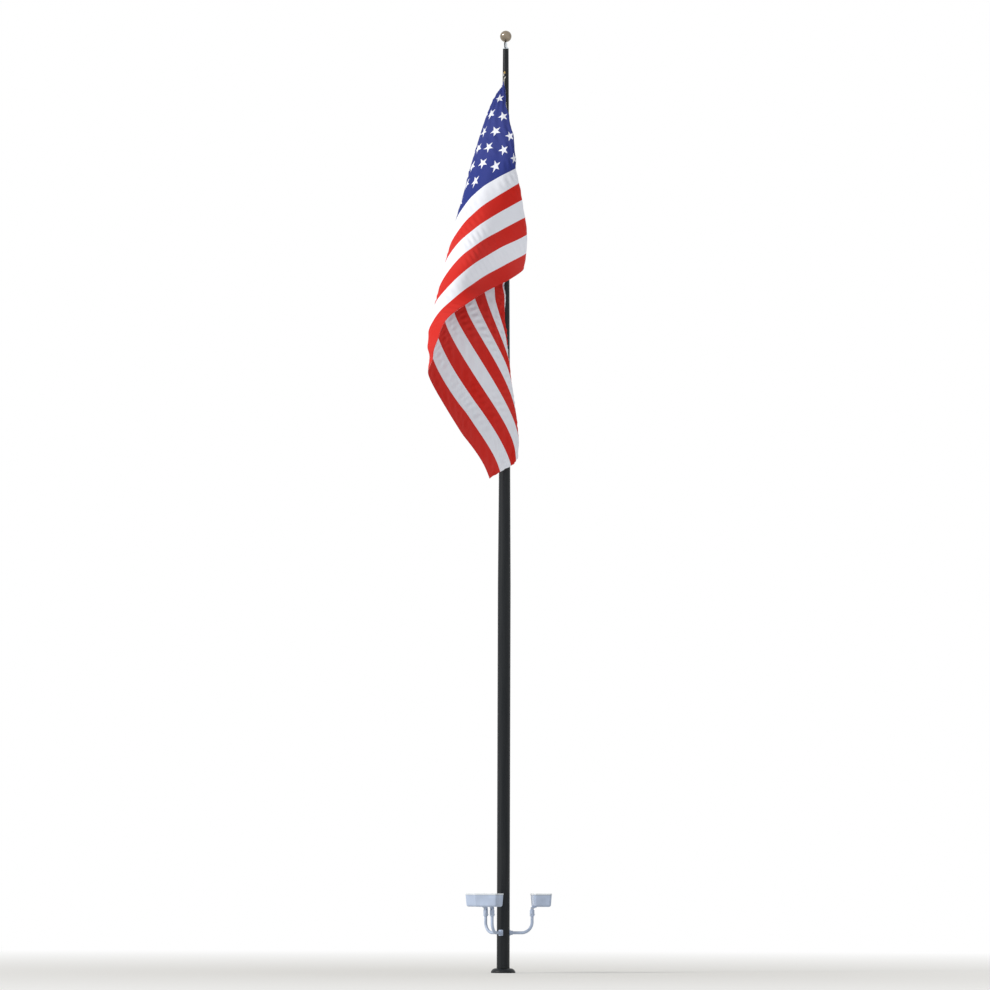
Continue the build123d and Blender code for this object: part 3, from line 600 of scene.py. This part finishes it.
def clear_of_shaft(sheet):
    """Pushes each point out of the shaft, which tapers to its top."""
    climbed = (sheet[..., 2] - taper_foot) / (taper_top - taper_foot)
    shaft = foot_radius + climbed * (top_radius - foot_radius)
    from_axis = np.maximum(np.hypot(sheet[..., 0], sheet[..., 1]), TINY_REACH)
    push = 1.0 + np.maximum(shaft + SHAFT_CLEARANCE - from_axis, 0.0) / from_axis
    return sheet * np.stack([push, push, np.ones_like(push)], axis=-1)


def eased(values, low, high):
    share = np.clip((values - low) / (high - low), 0.0, 1.0)
    return share * share * (3.0 - 2.0 * share)


def shown_share(flat):
    """1 where the photograph shows the cloth, 0 where it is hidden: by the angle at the top corner."""
    angle = np.degrees(np.arctan2(flat[..., 1], flat[..., 0] + HEADING))
    front = eased(angle, *FRONT_ANGLES)
    back = eased(flat[..., 0], *BACK_REACH) * eased(angle, *BACK_ANGLES)
    return np.maximum(front, back)[..., None]


def relax(sheet, steps, sweeps, weight):
    flat = flat_grid(sheet.shape[1] - 1, sheet.shape[0] - 1)
    links = threads(flat, BENDING, SLANTING)
    target = bent_plate(flat)
    shown = shown_share(flat)
    before = sheet.copy()
    for step in range(steps):
        drift = (sheet - before) * DAMPING
        before = sheet.copy()
        sheet = sheet + drift
        sheet[..., 2] -= weight
        for sweep in range(sweeps):
            move = np.zeros_like(sheet)
            count = np.full(sheet.shape[:2], TINY)
            for one, two, rest, stiff in links:
                span = sheet[two] - sheet[one]
                length = np.linalg.norm(span, axis=-1)
                change = span * ((length - rest) / length * 0.5 * stiff)[..., None]
                move[one] += change
                move[two] -= change
                count[one] += stiff
                count[two] += stiff
            sheet = sheet + move / count[..., None] * (1 - shown)
            sheet[0, 0] = top_corner
            sheet[-1, 0] = low_corner
            sheet = clear_of_shaft(sheet)
        sheet = sheet + (target - sheet) * shown
        sheet = sheet * shown + inside_outline(sheet) * (1 - shown)
    return sheet


# %% [markdown]
# Between two grids, the points of the finer one are read off smooth curves through the coarse one.

# %% Finer grids
def smooth_between(points, spots):
    """Reads rows at fractional spots, on curves that pass through every row."""
    last = len(points) - 1
    index = np.clip(spots.astype(int), 0, last - 1)
    t = (spots - index)[:, None, None]
    before, start = points[np.maximum(index - 1, 0)], points[index]
    end, after = points[index + 1], points[np.minimum(index + 2, last)]
    linear = (end - before) * t
    square = (2 * before - 5 * start + 4 * end - after) * t ** 2
    cube = (3 * start - before - 3 * end + after) * t ** 3
    return (2 * start + linear + square + cube) / 2


def finer(sheet, across, down):
    tall = smooth_between(sheet, np.linspace(0, len(sheet) - 1, down + 1)).transpose(1, 0, 2)
    return smooth_between(tall, np.linspace(0, len(tall) - 1, across + 1)).transpose(1, 0, 2)


# Grids: cells across and down, steps, sweeps in a step, fall in a step
GRIDS = [(24, 14, 200, 4, 0.0003), (48, 28, 80, 6, 0.0001), (96, 56, 40, 8, 0.00003)]


def hang_the_flag():
    sheet = bent_plate(flat_grid(*GRIDS[0][:2]))
    for across, down, *rest in GRIDS:
        sheet = relax(finer(sheet, across, down), *rest)
        lengths = np.linalg.norm(np.diff(sheet, axis=1), axis=-1).sum(axis=1)
        print("grid", across, "x", down, "length along the fly:", round(float(lengths.mean()), 3), "m")
    return sheet


hanging = hang_the_flag()

# %% [markdown]
# ## Wrinkles
#
# Light nylon puckers where two stripes are sewn together, and it creases along the lines of pull from the
# corner. Both are too fine for the grid that was relaxed, so the sheet is made finer once more and each
# point moves along the normal, 3 mm on average and up to 30 mm. The waves are sums of sines with fixed
# phases, so the flag is the same every time. Nothing keeps these small moves out of the shaft.

# %% Wrinkles
FINE_ACROSS = 320
FINE_DOWN = 182
PUCKER = 0.011
SLACK = 0.022
PULL = 0.009
SLACK_START = 3.6
PULL_FADE = 3.0


def normals(sheet):
    along = np.gradient(sheet, axis=1)
    drop = np.gradient(sheet, axis=0)
    normal = np.cross(drop, along)
    return normal / np.maximum(np.linalg.norm(normal, axis=-1, keepdims=True), TINY)


def patches(along, drop, size, phase):
    """A slow pattern from 0 to 1 that says where wrinkles are strong."""
    waves = np.sin(along * 2.1 / size + phase) + np.sin(drop * 2.7 / size - 1.7 * phase)
    waves += np.sin((along + drop) * 1.3 / size + 2.3 * phase)
    return np.clip(waves / 3 + 0.5, 0, 1)


def wrinkles(flat):
    along, drop = flat[..., 0], flat[..., 1]
    stripe = drop / STRIPE
    middle = np.sin(math.pi * (stripe % 1.0)) ** 2
    shift = 1.9 * np.sin(np.floor(stripe) * 2.4) + 0.8 * np.sin(along * 3.1)
    pucker = PUCKER * middle * np.sin(along * 44 + drop * 6 + shift) * patches(along, drop, 0.5, 0.4)
    lean = np.sin((along * 0.75 - drop * 0.86) * 27 + shift)
    slack = SLACK * middle * lean * patches(along, drop, 0.9, 1.9)
    toward_fly = np.clip((along - SLACK_START) / 2, 0, 1)
    reach = np.hypot(along, drop)
    bearing = np.arctan2(along, drop)
    pull_lines = PULL * np.sin(bearing * 46 + np.sin(reach * 1.4)) * np.clip(1.4 - reach / PULL_FADE, 0, 1)
    return pucker + slack * toward_fly + pull_lines * np.clip(reach, 0, 1)


sheet = finer(hanging, FINE_ACROSS, FINE_DOWN)
flat = flat_grid(FINE_ACROSS, FINE_DOWN)
sheet = sheet + normals(sheet) * wrinkles(flat)[..., None]
stretch = np.linalg.norm(np.diff(sheet, axis=1), axis=-1).sum(axis=1).mean() / (FLY + HEADING)
print("mean stretch along the fly:", round(float(stretch), 3))


# %% [markdown]
# ## Flag material
#
# The stars and stripes are a pattern of simple rules, so they are arithmetic on the cloth's own
# coordinates, which the mesh carries as a UV map. A star is five equal wedges: fold the angle round its
# centre into one wedge, and its edge is a single straight line. The 50 stars stand on two square lattices,
# one set between the other.

# %% Flag material
STAR_STEP = math.radians(36)
STAR_EDGE_ANGLE = math.radians(72)
STAR_EDGE = math.cos(STAR_EDGE_ANGLE) * STAR_RADIUS


def star_lattice(finish, along, drop, shift):
    """1 inside a star of the lattice whose columns and rows are odd (shift 0) or even (shift 1)."""
    x = ((along * (1 / STAR_COLUMN) + shift) % 2.0 - 1.0) * STAR_COLUMN
    y = ((drop * (1 / STAR_ROW) + shift) % 2.0 - 1.0) * STAR_ROW
    angle = finish.node("ShaderNodeMath", {"operation": "ARCTAN2"}, {0: x, 1: 0.0 - y})
    wedge = finish.node("ShaderNodeMath", {"operation": "PINGPONG"}, {0: angle, 1: STAR_STEP})
    cosine = finish.node("ShaderNodeMath", {"operation": "COSINE"}, {0: STAR_EDGE_ANGLE - wedge})
    radius = finish.node("ShaderNodeMath", {"operation": "SQRT"}, {0: x * x + y * y})
    margin = shift * 0.5
    within = (along > margin * STAR_COLUMN) * (along < CANTON_LENGTH - margin * STAR_COLUMN)
    within = within * (drop > margin * STAR_ROW) * (drop < CANTON_HEIGHT - margin * STAR_ROW)
    return (radius * cosine < STAR_EDGE) * within


def flag_nylon():
    finish = Finish("flag_nylon", paint(236, 236, 238), roughness=0.78, specular_ior_level=0.25)
    cloth = finish.node("ShaderNodeUVMap", {"uv_map": "cloth"})
    along = finish.node("ShaderNodeSeparateXYZ", sockets={0: cloth}, output="X") * (FLY + HEADING) - HEADING
    drop = finish.node("ShaderNodeSeparateXYZ", sockets={0: cloth}, output="Y") * HOIST
    white, red, blue = paint(234, 237, 246), paint(206, 30, 18), paint(34, 50, 128)
    stripes = (drop * (1 / STRIPE)) % 2.0 < 1.0
    canton = (along < CANTON_LENGTH) * (drop < CANTON_HEIGHT)
    stars = star_lattice(finish, along, drop, 0.0) + star_lattice(finish, along, drop, 1.0)
    colour = finish.between(canton, finish.between(stripes, white, red), blue)
    colour = finish.between(canton * stars, colour, white)
    fade = finish.noise(1.1, detail=5.0)
    finish.show(base_color=finish.between(finish.ramp(fade, 0.3, 0.8) * 0.03, colour, paint(232, 214, 214)))
    seam = (drop * (1 / STRIPE)) % 1.0
    beside_seam = (seam < 0.035) + (seam > 0.965)
    weave = finish.noise(900.0, cloth, detail=1.0)
    finish.relief(beside_seam * 0.7 + stars * canton * 0.5 + weave * 0.25, 0.0012)
    return finish


nylon = flag_nylon()
print("flag nylon:", len(nylon.tree.nodes), "nodes")


# %% [markdown]
# ## From grid to mesh
#
# The first three columns of the grid are the canvas heading and the rest is the cloth. One function makes
# both: faces between neighbouring points, a UV map of the flat cloth, and a Solidify modifier for the
# thickness.

# %% Cloth and heading meshes
NYLON_THICKNESS = 0.0012
CANVAS_THICKNESS = 0.004


def sheet_piece(name, first, last, thickness, finish):
    points = sheet[:, first:last + 1]
    rows, columns = points.shape[:2]
    number = np.arange(rows * columns).reshape(rows, columns)
    corners = [number[:-1, :-1], number[1:, :-1], number[1:, 1:], number[:-1, 1:]]
    corners = np.stack(corners, axis=-1).reshape(-1, 4)
    mesh = bpy.data.meshes.new(name)
    mesh.from_pydata(points.reshape(-1, 3).tolist(), [], corners.tolist())
    layer = mesh.uv_layers.new(name="cloth")
    spot = flat[:, first:last + 1].reshape(-1, 2)[corners.reshape(-1)]
    uv = np.stack([(spot[:, 0] + HEADING) / (FLY + HEADING), spot[:, 1] / HOIST], axis=1)
    layer.data.foreach_set("uv", uv.ravel())
    mesh.shade_smooth()
    mesh.materials.append(finish.material)
    piece = bpy.data.objects.new(name, mesh)
    bpy.context.scene.collection.objects.link(piece)
    thicker = piece.modifiers.new("thickness", "SOLIDIFY")
    thicker.thickness = thickness
    thicker.offset = 0.0
    return piece


heading_columns = round(HEADING / (FLY + HEADING) * FINE_ACROSS)
cloth = sheet_piece("cloth", heading_columns, FINE_ACROSS, NYLON_THICKNESS, nylon)
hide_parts("flag_cloth")
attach(cloth, "truck")
heading = sheet_piece("heading", 0, heading_columns, CANVAS_THICKNESS, finishes["heading_canvas"])
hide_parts("flag_heading")
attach(heading, "truck")
print("cloth:", len(cloth.data.polygons), "faces; heading:", len(heading.data.polygons), "faces")


# %% [markdown]
# ## Small turned things
#
# Screws, washers, grommets, beads and bulbs are all turned forms. One helper spins a profile of radius and
# height about the Z axis of a place, and another turns its faces one way, makes the mesh, gives it its
# finish and lets it ride on its body.

# %% Turned forms
def add_turned(shape, profile, place=Matrix(), segments=24):
    loops = []
    for radius, height in profile:
        if radius == 0:
            loops.append([shape.verts.new(place @ Vector((0, 0, height)))])
            continue
        turns = [2 * math.pi * step / segments for step in range(segments)]
        circle = [Vector((radius * math.cos(turn), radius * math.sin(turn), height)) for turn in turns]
        loops.append([shape.verts.new(place @ point) for point in circle])
    for lower, upper in zip(loops, loops[1:]):
        for step in range(segments):
            after = (step + 1) % segments
            corners = [lower[step % len(lower)], lower[after % len(lower)]]
            corners += [upper[after % len(upper)], upper[step % len(upper)]]
            shape.faces.new(list(dict.fromkeys(corners)))


def fitted(name, shape, finish, body):
    bmesh.ops.recalc_face_normals(shape, faces=shape.faces)
    mesh = bpy.data.meshes.new(name)
    shape.to_mesh(mesh)
    shape.free()
    mesh.shade_smooth()
    mesh.set_sharp_from_angle(angle=math.radians(35))
    mesh.materials.append(finish.material)
    piece = bpy.data.objects.new(name, mesh)
    bpy.context.scene.collection.objects.link(piece)
    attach(piece, body)
    return piece


def facing(direction, place):
    """A place whose Z axis points along a direction."""
    turn = Vector(direction).to_track_quat("Z", "Y").to_matrix().to_4x4()
    return Matrix.Translation(Vector(place)) @ turn


def add_hex_screw(shape, place, across, height):
    corner = across / math.sqrt(3)
    washer = [(0.62 * across, 0), (0.62 * across, 0.12 * height), (0, 0.12 * height)]
    head = [(corner, 0.12 * height), (corner, 0.85 * height), (0.86 * corner, height), (0, height)]
    add_turned(shape, [(0, 0)] + washer, place, 20)
    add_turned(shape, [(0, 0.12 * height)] + head, place, 6)


def add_round_screw(shape, place, radius, height):
    rim = [(0, 0), (radius, 0), (radius, 0.35 * height), (0.75 * radius, 0.8 * height)]
    rim += [(0.42 * radius, height)]
    socket = [(0.36 * radius, height), (0.36 * radius, 0.45 * height), (0, 0.45 * height)]
    add_turned(shape, rim + socket, place, 18)


def add_hoop(shape, place, radius, wire, segments=48, sides=10):
    turns = [2 * math.pi * step / sides for step in range(sides + 1)]
    profile = [(radius + wire * math.cos(turn), wire * math.sin(turn)) for turn in turns]
    add_turned(shape, profile, place, segments)


print("turned forms ready")


# %% [markdown]
# ## Grommets and tabs
#
# The heading ends in two tabs with a brass grommet in each, and the snaps' links pass through them.

# %% Grommets and tabs
truck_out = Vector((math.cos(TRUCK_BEARING), math.sin(TRUCK_BEARING), 0))
truck_side = Vector((-math.sin(TRUCK_BEARING), math.cos(TRUCK_BEARING), 0))
EYE_RADIUS = 0.008
TAB_TIP = 0.014
TAB_WIDTH = 0.040
TAB_FOOT = (-0.01, 0.06)
TAB_HALF_THICKNESS = 0.002
GROMMET_RIM = 0.004
GROMMET_WIRE = 0.0032

eye_top = Vector((0, 0, heading_high[2] - TAB_TIP))
eye_low = Vector((0, 0, heading_low[2] + TAB_TIP))


def grommet_place(height):
    reach = truck_out.dot(Vector(top_corner)) + EYE_RADIUS * 0.5
    return facing(truck_side, truck_out * reach + Vector((0, 0, height)))


def grommets():
    shape = bmesh.new()
    for height in (eye_top.z, eye_low.z):
        add_hoop(shape, grommet_place(height), EYE_RADIUS + GROMMET_RIM, GROMMET_WIRE)
    return fitted("grommets", shape, finishes["snap_metal"], "truck")


brass_grommets = grommets()


def tab_strips():
    shape = bmesh.new()
    for height, corner in ((eye_top.z, Vector(top_corner)), (eye_low.z, Vector(low_corner))):
        way = 1 if height > corner.z else -1
        middle = grommet_place(height).translation
        rounded = []
        for step in range(13):
            turn = math.pi * step / 12
            across = truck_out * math.cos(turn) * TAB_WIDTH / 2
            rounded.append(middle + across + Vector((0, 0, way * math.sin(turn) * TAB_TIP)))
        foot = [corner + truck_out * out for out in TAB_FOOT]
        for side in (-TAB_HALF_THICKNESS, TAB_HALF_THICKNESS):
            outline = [shape.verts.new(point + truck_side * side) for point in rounded + foot]
            shape.faces.new(outline)
        bmesh.ops.bridge_loops(shape, edges=[edge for edge in shape.edges if edge.is_boundary])
    return fitted("heading_tabs", shape, finishes["heading_canvas"], "truck")


tabs = tab_strips()


# %% [markdown]
# ## Retainer ring
#
# The ring that keeps the lower corner near the shaft is a loop of cord with plastic beads that roll on the
# shaft.

# %% Retainer ring
BEAD = 0.016
BEAD_PITCH = 0.0168
BEAD_HOLE = 0.0025
CORD_RADIUS = 0.002


def beads():
    low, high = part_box("retainer_ring")
    radius = (high[0] - low[0] - BEAD) / 2
    height = (low[2] + high[2]) / 2
    shape = bmesh.new()
    count = int(2 * math.pi * radius / BEAD_PITCH)
    for number in range(count):
        turn = 2 * math.pi * number / count
        along = Vector((-math.sin(turn), math.cos(turn), 0))
        place = facing(along, (radius * math.cos(turn), radius * math.sin(turn), height))
        arc = [math.pi * step / 8 - math.pi / 2 for step in range(9)]
        profile = [(max(BEAD / 2 * math.cos(step), BEAD_HOLE), BEAD / 2 * math.sin(step)) for step in arc]
        add_turned(shape, profile, place, 14)
    add_hoop(shape, Matrix.Translation((0, 0, height)), radius, CORD_RADIUS, segments=72, sides=6)
    ring = fitted("retainer_beads", shape, finishes["bead_plastic"], "truck")
    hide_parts("retainer_ring")
    print("beads:", count)


beads()


# %% [markdown]
# ## Fixings on the shaft
#
# Each saddle is held by four hex screws, each slipfitter by three set screws, and the collar's neck is
# sealed with a bead of black rubber. The door has a screw at its top and its foot, and the truck's flange
# has three set screws.

# %% Fixings on the shaft
ARM_BEARINGS = [math.radians(angle) for angle in (7.5, 127.5, 247.5)]
SADDLE_PLATE = 0.0121
SADDLE_SCREW_EDGE = 0.018
SADDLE_SCREW_SWING = 0.225
SADDLE_SCREW = (0.013, 0.008)
ARM_REACH = 0.57
FITTER_RADIUS = 0.0455
FITTER_SCREW_RISE = 0.035
FITTER_SCREW = (0.014, 0.011)


def arm_direction(bearing):
    return Vector((math.cos(bearing), math.sin(bearing), 0))


def saddle_screws(number, bearing):
    low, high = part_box(f"arm_saddle_{number}")
    middle = (low[2] + high[2]) / 2
    rise = (high[2] - low[2]) / 2 - SADDLE_SCREW_EDGE
    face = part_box("pole_lower")[1][0] + SADDLE_PLATE
    shape = bmesh.new()
    for swing in (-SADDLE_SCREW_SWING, SADDLE_SCREW_SWING):
        out = arm_direction(bearing + swing)
        for step in (-rise, rise):
            add_hex_screw(shape, facing(out, out * face + Vector((0, 0, middle + step))), *SADDLE_SCREW)
    fitted(f"saddle_screws_{number}", shape, finishes["bolt_steel"], "pole")


def fitter_screws(number, bearing):
    low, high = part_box(f"slipfitter_{number}")
    centre = arm_direction(bearing) * ARM_REACH
    shape = bmesh.new()
    for turn in (0, 120, 240):
        out = arm_direction(bearing + math.radians(turn))
        place = centre + out * FITTER_RADIUS + Vector((0, 0, low[2] + FITTER_SCREW_RISE))
        add_hex_screw(shape, facing(out, place), *FITTER_SCREW)
    fitted(f"fitter_screws_{number}", shape, finishes["bolt_steel"], "pole")


for number, bearing in enumerate(ARM_BEARINGS, start=1):
    saddle_screws(number, bearing)
    fitter_screws(number, bearing)
print("screws on saddles and slipfitters fitted")


# %% Seal, door screws and truck screws
SEAL_STAND = 0.0016
SEAL_BEAD = 0.0022
DOOR_SCREW_EDGE = 0.022
DOOR_SCREW = (0.0055, 0.003)
TRUCK_SCREW_RISE = 0.006
TRUCK_SCREW = (0.0035, 0.003)


def collar_seal():
    low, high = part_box("flash_collar")
    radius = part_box("pole_lower")[1][0]
    shape = bmesh.new()
    add_hoop(shape, Matrix.Translation((0, 0, high[2])), radius + SEAL_STAND, SEAL_BEAD, segments=96)
    fitted("collar_seal", shape, finishes["gasket_rubber"], "pole")


def door_screws():
    low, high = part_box("access_door")
    shape = bmesh.new()
    for height in (low[2] + DOOR_SCREW_EDGE, high[2] - DOOR_SCREW_EDGE):
        add_round_screw(shape, facing((0, 1, 0), (0, high[1] - 0.0004, height)), *DOOR_SCREW)
    fitted("door_screws", shape, finishes["bolt_steel"], "pole")


def truck_screws():
    low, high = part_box("truck_spindle")
    shape = bmesh.new()
    for turn in (30, 150, 270):
        out = arm_direction(math.radians(turn))
        place = out * (high[0] - 0.0005) + Vector((0, 0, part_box("pole_upper")[1][2] + TRUCK_SCREW_RISE))
        add_round_screw(shape, facing(out, place), *TRUCK_SCREW)
    fitted("truck_screws", shape, finishes["bolt_steel"], "pole")


collar_seal()
door_screws()
truck_screws()


# %% [markdown]
# ## Inside and round the lamps
#
# A floodlight seen from above shows its arc tube in a glass bulb, the white porcelain socket behind it and
# the bright reflector. Outside it has a black gasket between housing and door, and a captive screw at each
# corner.

# %% Lamp bulbs
def lamp_place(bearing, x, y, z):
    """A place given along the arm, beside it and above the ground."""
    out = arm_direction(bearing)
    return out * x + Vector((-out.y, out.x, 0)) * y + Vector((0, 0, z))


def bulb_glass():
    finish = Finish("bulb_glass", paint(246, 247, 248), transmission_weight=1.0, ior=1.45)
    finish.show(roughness=finish.noise(30.0) * 0.06)
    return finish


def porcelain():
    finish = Finish("porcelain", paint(240, 238, 232), coat_weight=0.4)
    finish.show(roughness=finish.noise(40.0) * 0.2 + 0.2)
    return finish


finishes["bulb_glass"] = bulb_glass()
finishes["porcelain"] = porcelain()
LAMP_CENTRE = 0.75
BULB_DROP = 0.068
BULB_SIDE = -0.09
SOCKET_SIDE = -0.165

# Profiles: radius and height along the lamp's own axis
BULB = [(0.019, 0.0), (0.021, 0.02), (0.034, 0.06), (0.040, 0.10), (0.036, 0.15), (0.020, 0.185), (0, 0.195)]
ARC_TUBE = [(0, 0.03), (0.007, 0.035), (0.009, 0.10), (0.007, 0.15), (0, 0.155)]
SOCKET = [(0, 0), (0.026, 0), (0.028, 0.01), (0.028, 0.06), (0.023, 0.064), (0.023, 0.075), (0, 0.075)]


def bulb(number, bearing):
    along = lamp_place(bearing, 0, 1, 0)
    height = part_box(f"flood_reflector_{number}")[1][2] - BULB_DROP
    shape = bmesh.new()
    place = facing(along, lamp_place(bearing, LAMP_CENTRE, BULB_SIDE, height))
    add_turned(shape, BULB, place, 28)
    fitted(f"bulb_{number}", shape, finishes["bulb_glass"], f"flood_{number}")
    shape = bmesh.new()
    add_turned(shape, ARC_TUBE, place, 16)
    fitted(f"arc_tube_{number}", shape, finishes["reflector"], f"flood_{number}")
    shape = bmesh.new()
    socket = facing(along, lamp_place(bearing, LAMP_CENTRE, SOCKET_SIDE, height))
    add_turned(shape, SOCKET, socket, 28)
    fitted(f"lamp_socket_{number}", shape, finishes["porcelain"], f"flood_{number}")


for number, bearing in enumerate(ARM_BEARINGS, start=1):
    bulb(number, bearing)
print("bulbs fitted")


# %% Lamp gaskets and door screws
LAMP_HALF_LENGTH = 0.25
LAMP_HALF_DEPTH = 0.18
LAMP_CORNER = 0.048
LAMP_SCREW_OUT = 0.168
LAMP_SCREW_SIDE = 0.16
LAMP_SCREW = (0.006, 0.004)

# The gasket's section: how far out from the housing, and the rise from the door's foot
GASKET = [(0.0002, -0.003), (0.0022, -0.0025), (0.0026, 0.0), (0.0002, 0.0)]


def rounded_loop(half_x, half_y, corner, steps=8):
    """Points round a rectangle with round corners, anticlockwise."""
    points = []
    for quarter, (x, y) in enumerate([(1, 1), (-1, 1), (-1, -1), (1, -1)]):
        for step in range(steps + 1):
            turn = math.pi / 2 * (quarter + step / steps)
            centre = ((half_x - corner) * x, (half_y - corner) * y)
            points.append((centre[0] + corner * math.cos(turn), centre[1] + corner * math.sin(turn)))
    return points


def gasket(number, bearing):
    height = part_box(f"flood_door_{number}")[0][2]
    shape = bmesh.new()
    loops = []
    for grow, rise in GASKET:
        spots = rounded_loop(LAMP_HALF_DEPTH + grow, LAMP_HALF_LENGTH + grow, LAMP_CORNER + grow)
        places = [lamp_place(bearing, LAMP_CENTRE + x, y, height + rise) for x, y in spots]
        loops.append([shape.verts.new(place) for place in places])
    for lower, upper in zip(loops, loops[1:] + loops[:1]):
        for step in range(len(lower)):
            after = (step + 1) % len(lower)
            shape.faces.new([lower[step], lower[after], upper[after], upper[step]])
    fitted(f"gasket_{number}", shape, finishes["gasket_rubber"], f"flood_{number}")


def lamp_screws(number, bearing):
    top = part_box(f"flood_door_{number}")[1][2]
    shape = bmesh.new()
    for x in (-LAMP_SCREW_OUT, LAMP_SCREW_OUT):
        for y in (-LAMP_SCREW_SIDE, LAMP_SCREW_SIDE):
            place = lamp_place(bearing, LAMP_CENTRE + x, y, top - 0.0004)
            add_round_screw(shape, Matrix.Translation(place), *LAMP_SCREW)
    fitted(f"lamp_screws_{number}", shape, finishes["bolt_steel"], f"flood_{number}")


for number, bearing in enumerate(ARM_BEARINGS, start=1):
    gasket(number, bearing)
    lamp_screws(number, bearing)
print("gaskets and door screws fitted")

# %% [markdown]
# ## Floor, sky and lamps
#
# The floor is pale and fades into the white behind it, so that no horizon crosses the pole. The light is
# one soft sun from the left and an even sky, together about as bright as a colour card needs to look like
# itself.

# %% Floor
FLOOR_RADIUS = 400.0
FADE_START = 4.0
FADE_END = 40.0


def floor_material():
    finish = Finish("pale_floor", paint(232, 232, 230), roughness=0.9)
    away = finish.node("ShaderNodeVectorMath", {"operation": "LENGTH"}, {0: finish.place()}, output="Value")
    glow = finish.node("ShaderNodeEmission", sockets={"Color": (1.0, 1.0, 1.0, 1.0)})
    share = finish.ramp(away, FADE_START, FADE_END)
    lit = Signal(finish, finish.shader.outputs[0])
    shown = finish.node("ShaderNodeMixShader", sockets={0: share, 1: lit, 2: glow})
    finish.tree.links.new(shown.socket, finish.tree.nodes["Material Output"].inputs["Surface"])
    return finish


ground = bmesh.new()
add_turned(ground, [(0, 0), (FADE_START, 0), (FADE_END, 0), (FLOOR_RADIUS, 0)], segments=64)
floor_mesh = bpy.data.meshes.new("floor")
ground.to_mesh(floor_mesh)
ground.free()
floor_mesh.materials.append(floor_material().material)
floor = bpy.data.objects.new("floor", floor_mesh)
bpy.context.scene.collection.objects.link(floor)

# %% Sky and sun
SKY_STRENGTH = 0.5
SUN_STRENGTH = 2.1
SUN_WIDTH = 12.0
SUN_FROM = (-0.80, -0.42, 0.50)
SUN_PLACE = (-30, -16, 30)


def sky():
    world = bpy.data.worlds.new("sky")
    world.use_nodes = True
    bpy.context.scene.world = world
    tree = world.node_tree
    light_path = tree.nodes.new("ShaderNodeLightPath")
    seen = light_path.outputs["Is Camera Ray"]
    for kind in ("Is Glossy Ray", "Is Transmission Ray"):
        either = tree.nodes.new("ShaderNodeMath")
        either.operation = "MAXIMUM"
        tree.links.new(seen, either.inputs[0])
        tree.links.new(light_path.outputs[kind], either.inputs[1])
        seen = either.outputs[0]
    strength = tree.nodes.new("ShaderNodeMapRange")
    strength.inputs["To Min"].default_value = SKY_STRENGTH
    tree.links.new(seen, strength.inputs["Value"])
    background = tree.nodes["Background"]
    background.inputs["Color"].default_value = (1.0, 1.0, 1.0, 1.0)
    tree.links.new(strength.outputs[0], background.inputs["Strength"])


sky()
sun_data = bpy.data.lights.new("sun", "SUN")
sun_data.energy = SUN_STRENGTH
sun_data.angle = math.radians(SUN_WIDTH)
sun_data.color = (1.0, 0.97, 0.92)
sun = bpy.data.objects.new("sun", sun_data)
bpy.context.scene.collection.objects.link(sun)
sun.matrix_world = facing(SUN_FROM, SUN_PLACE)
bpy.context.scene.view_settings.view_transform = "Standard"
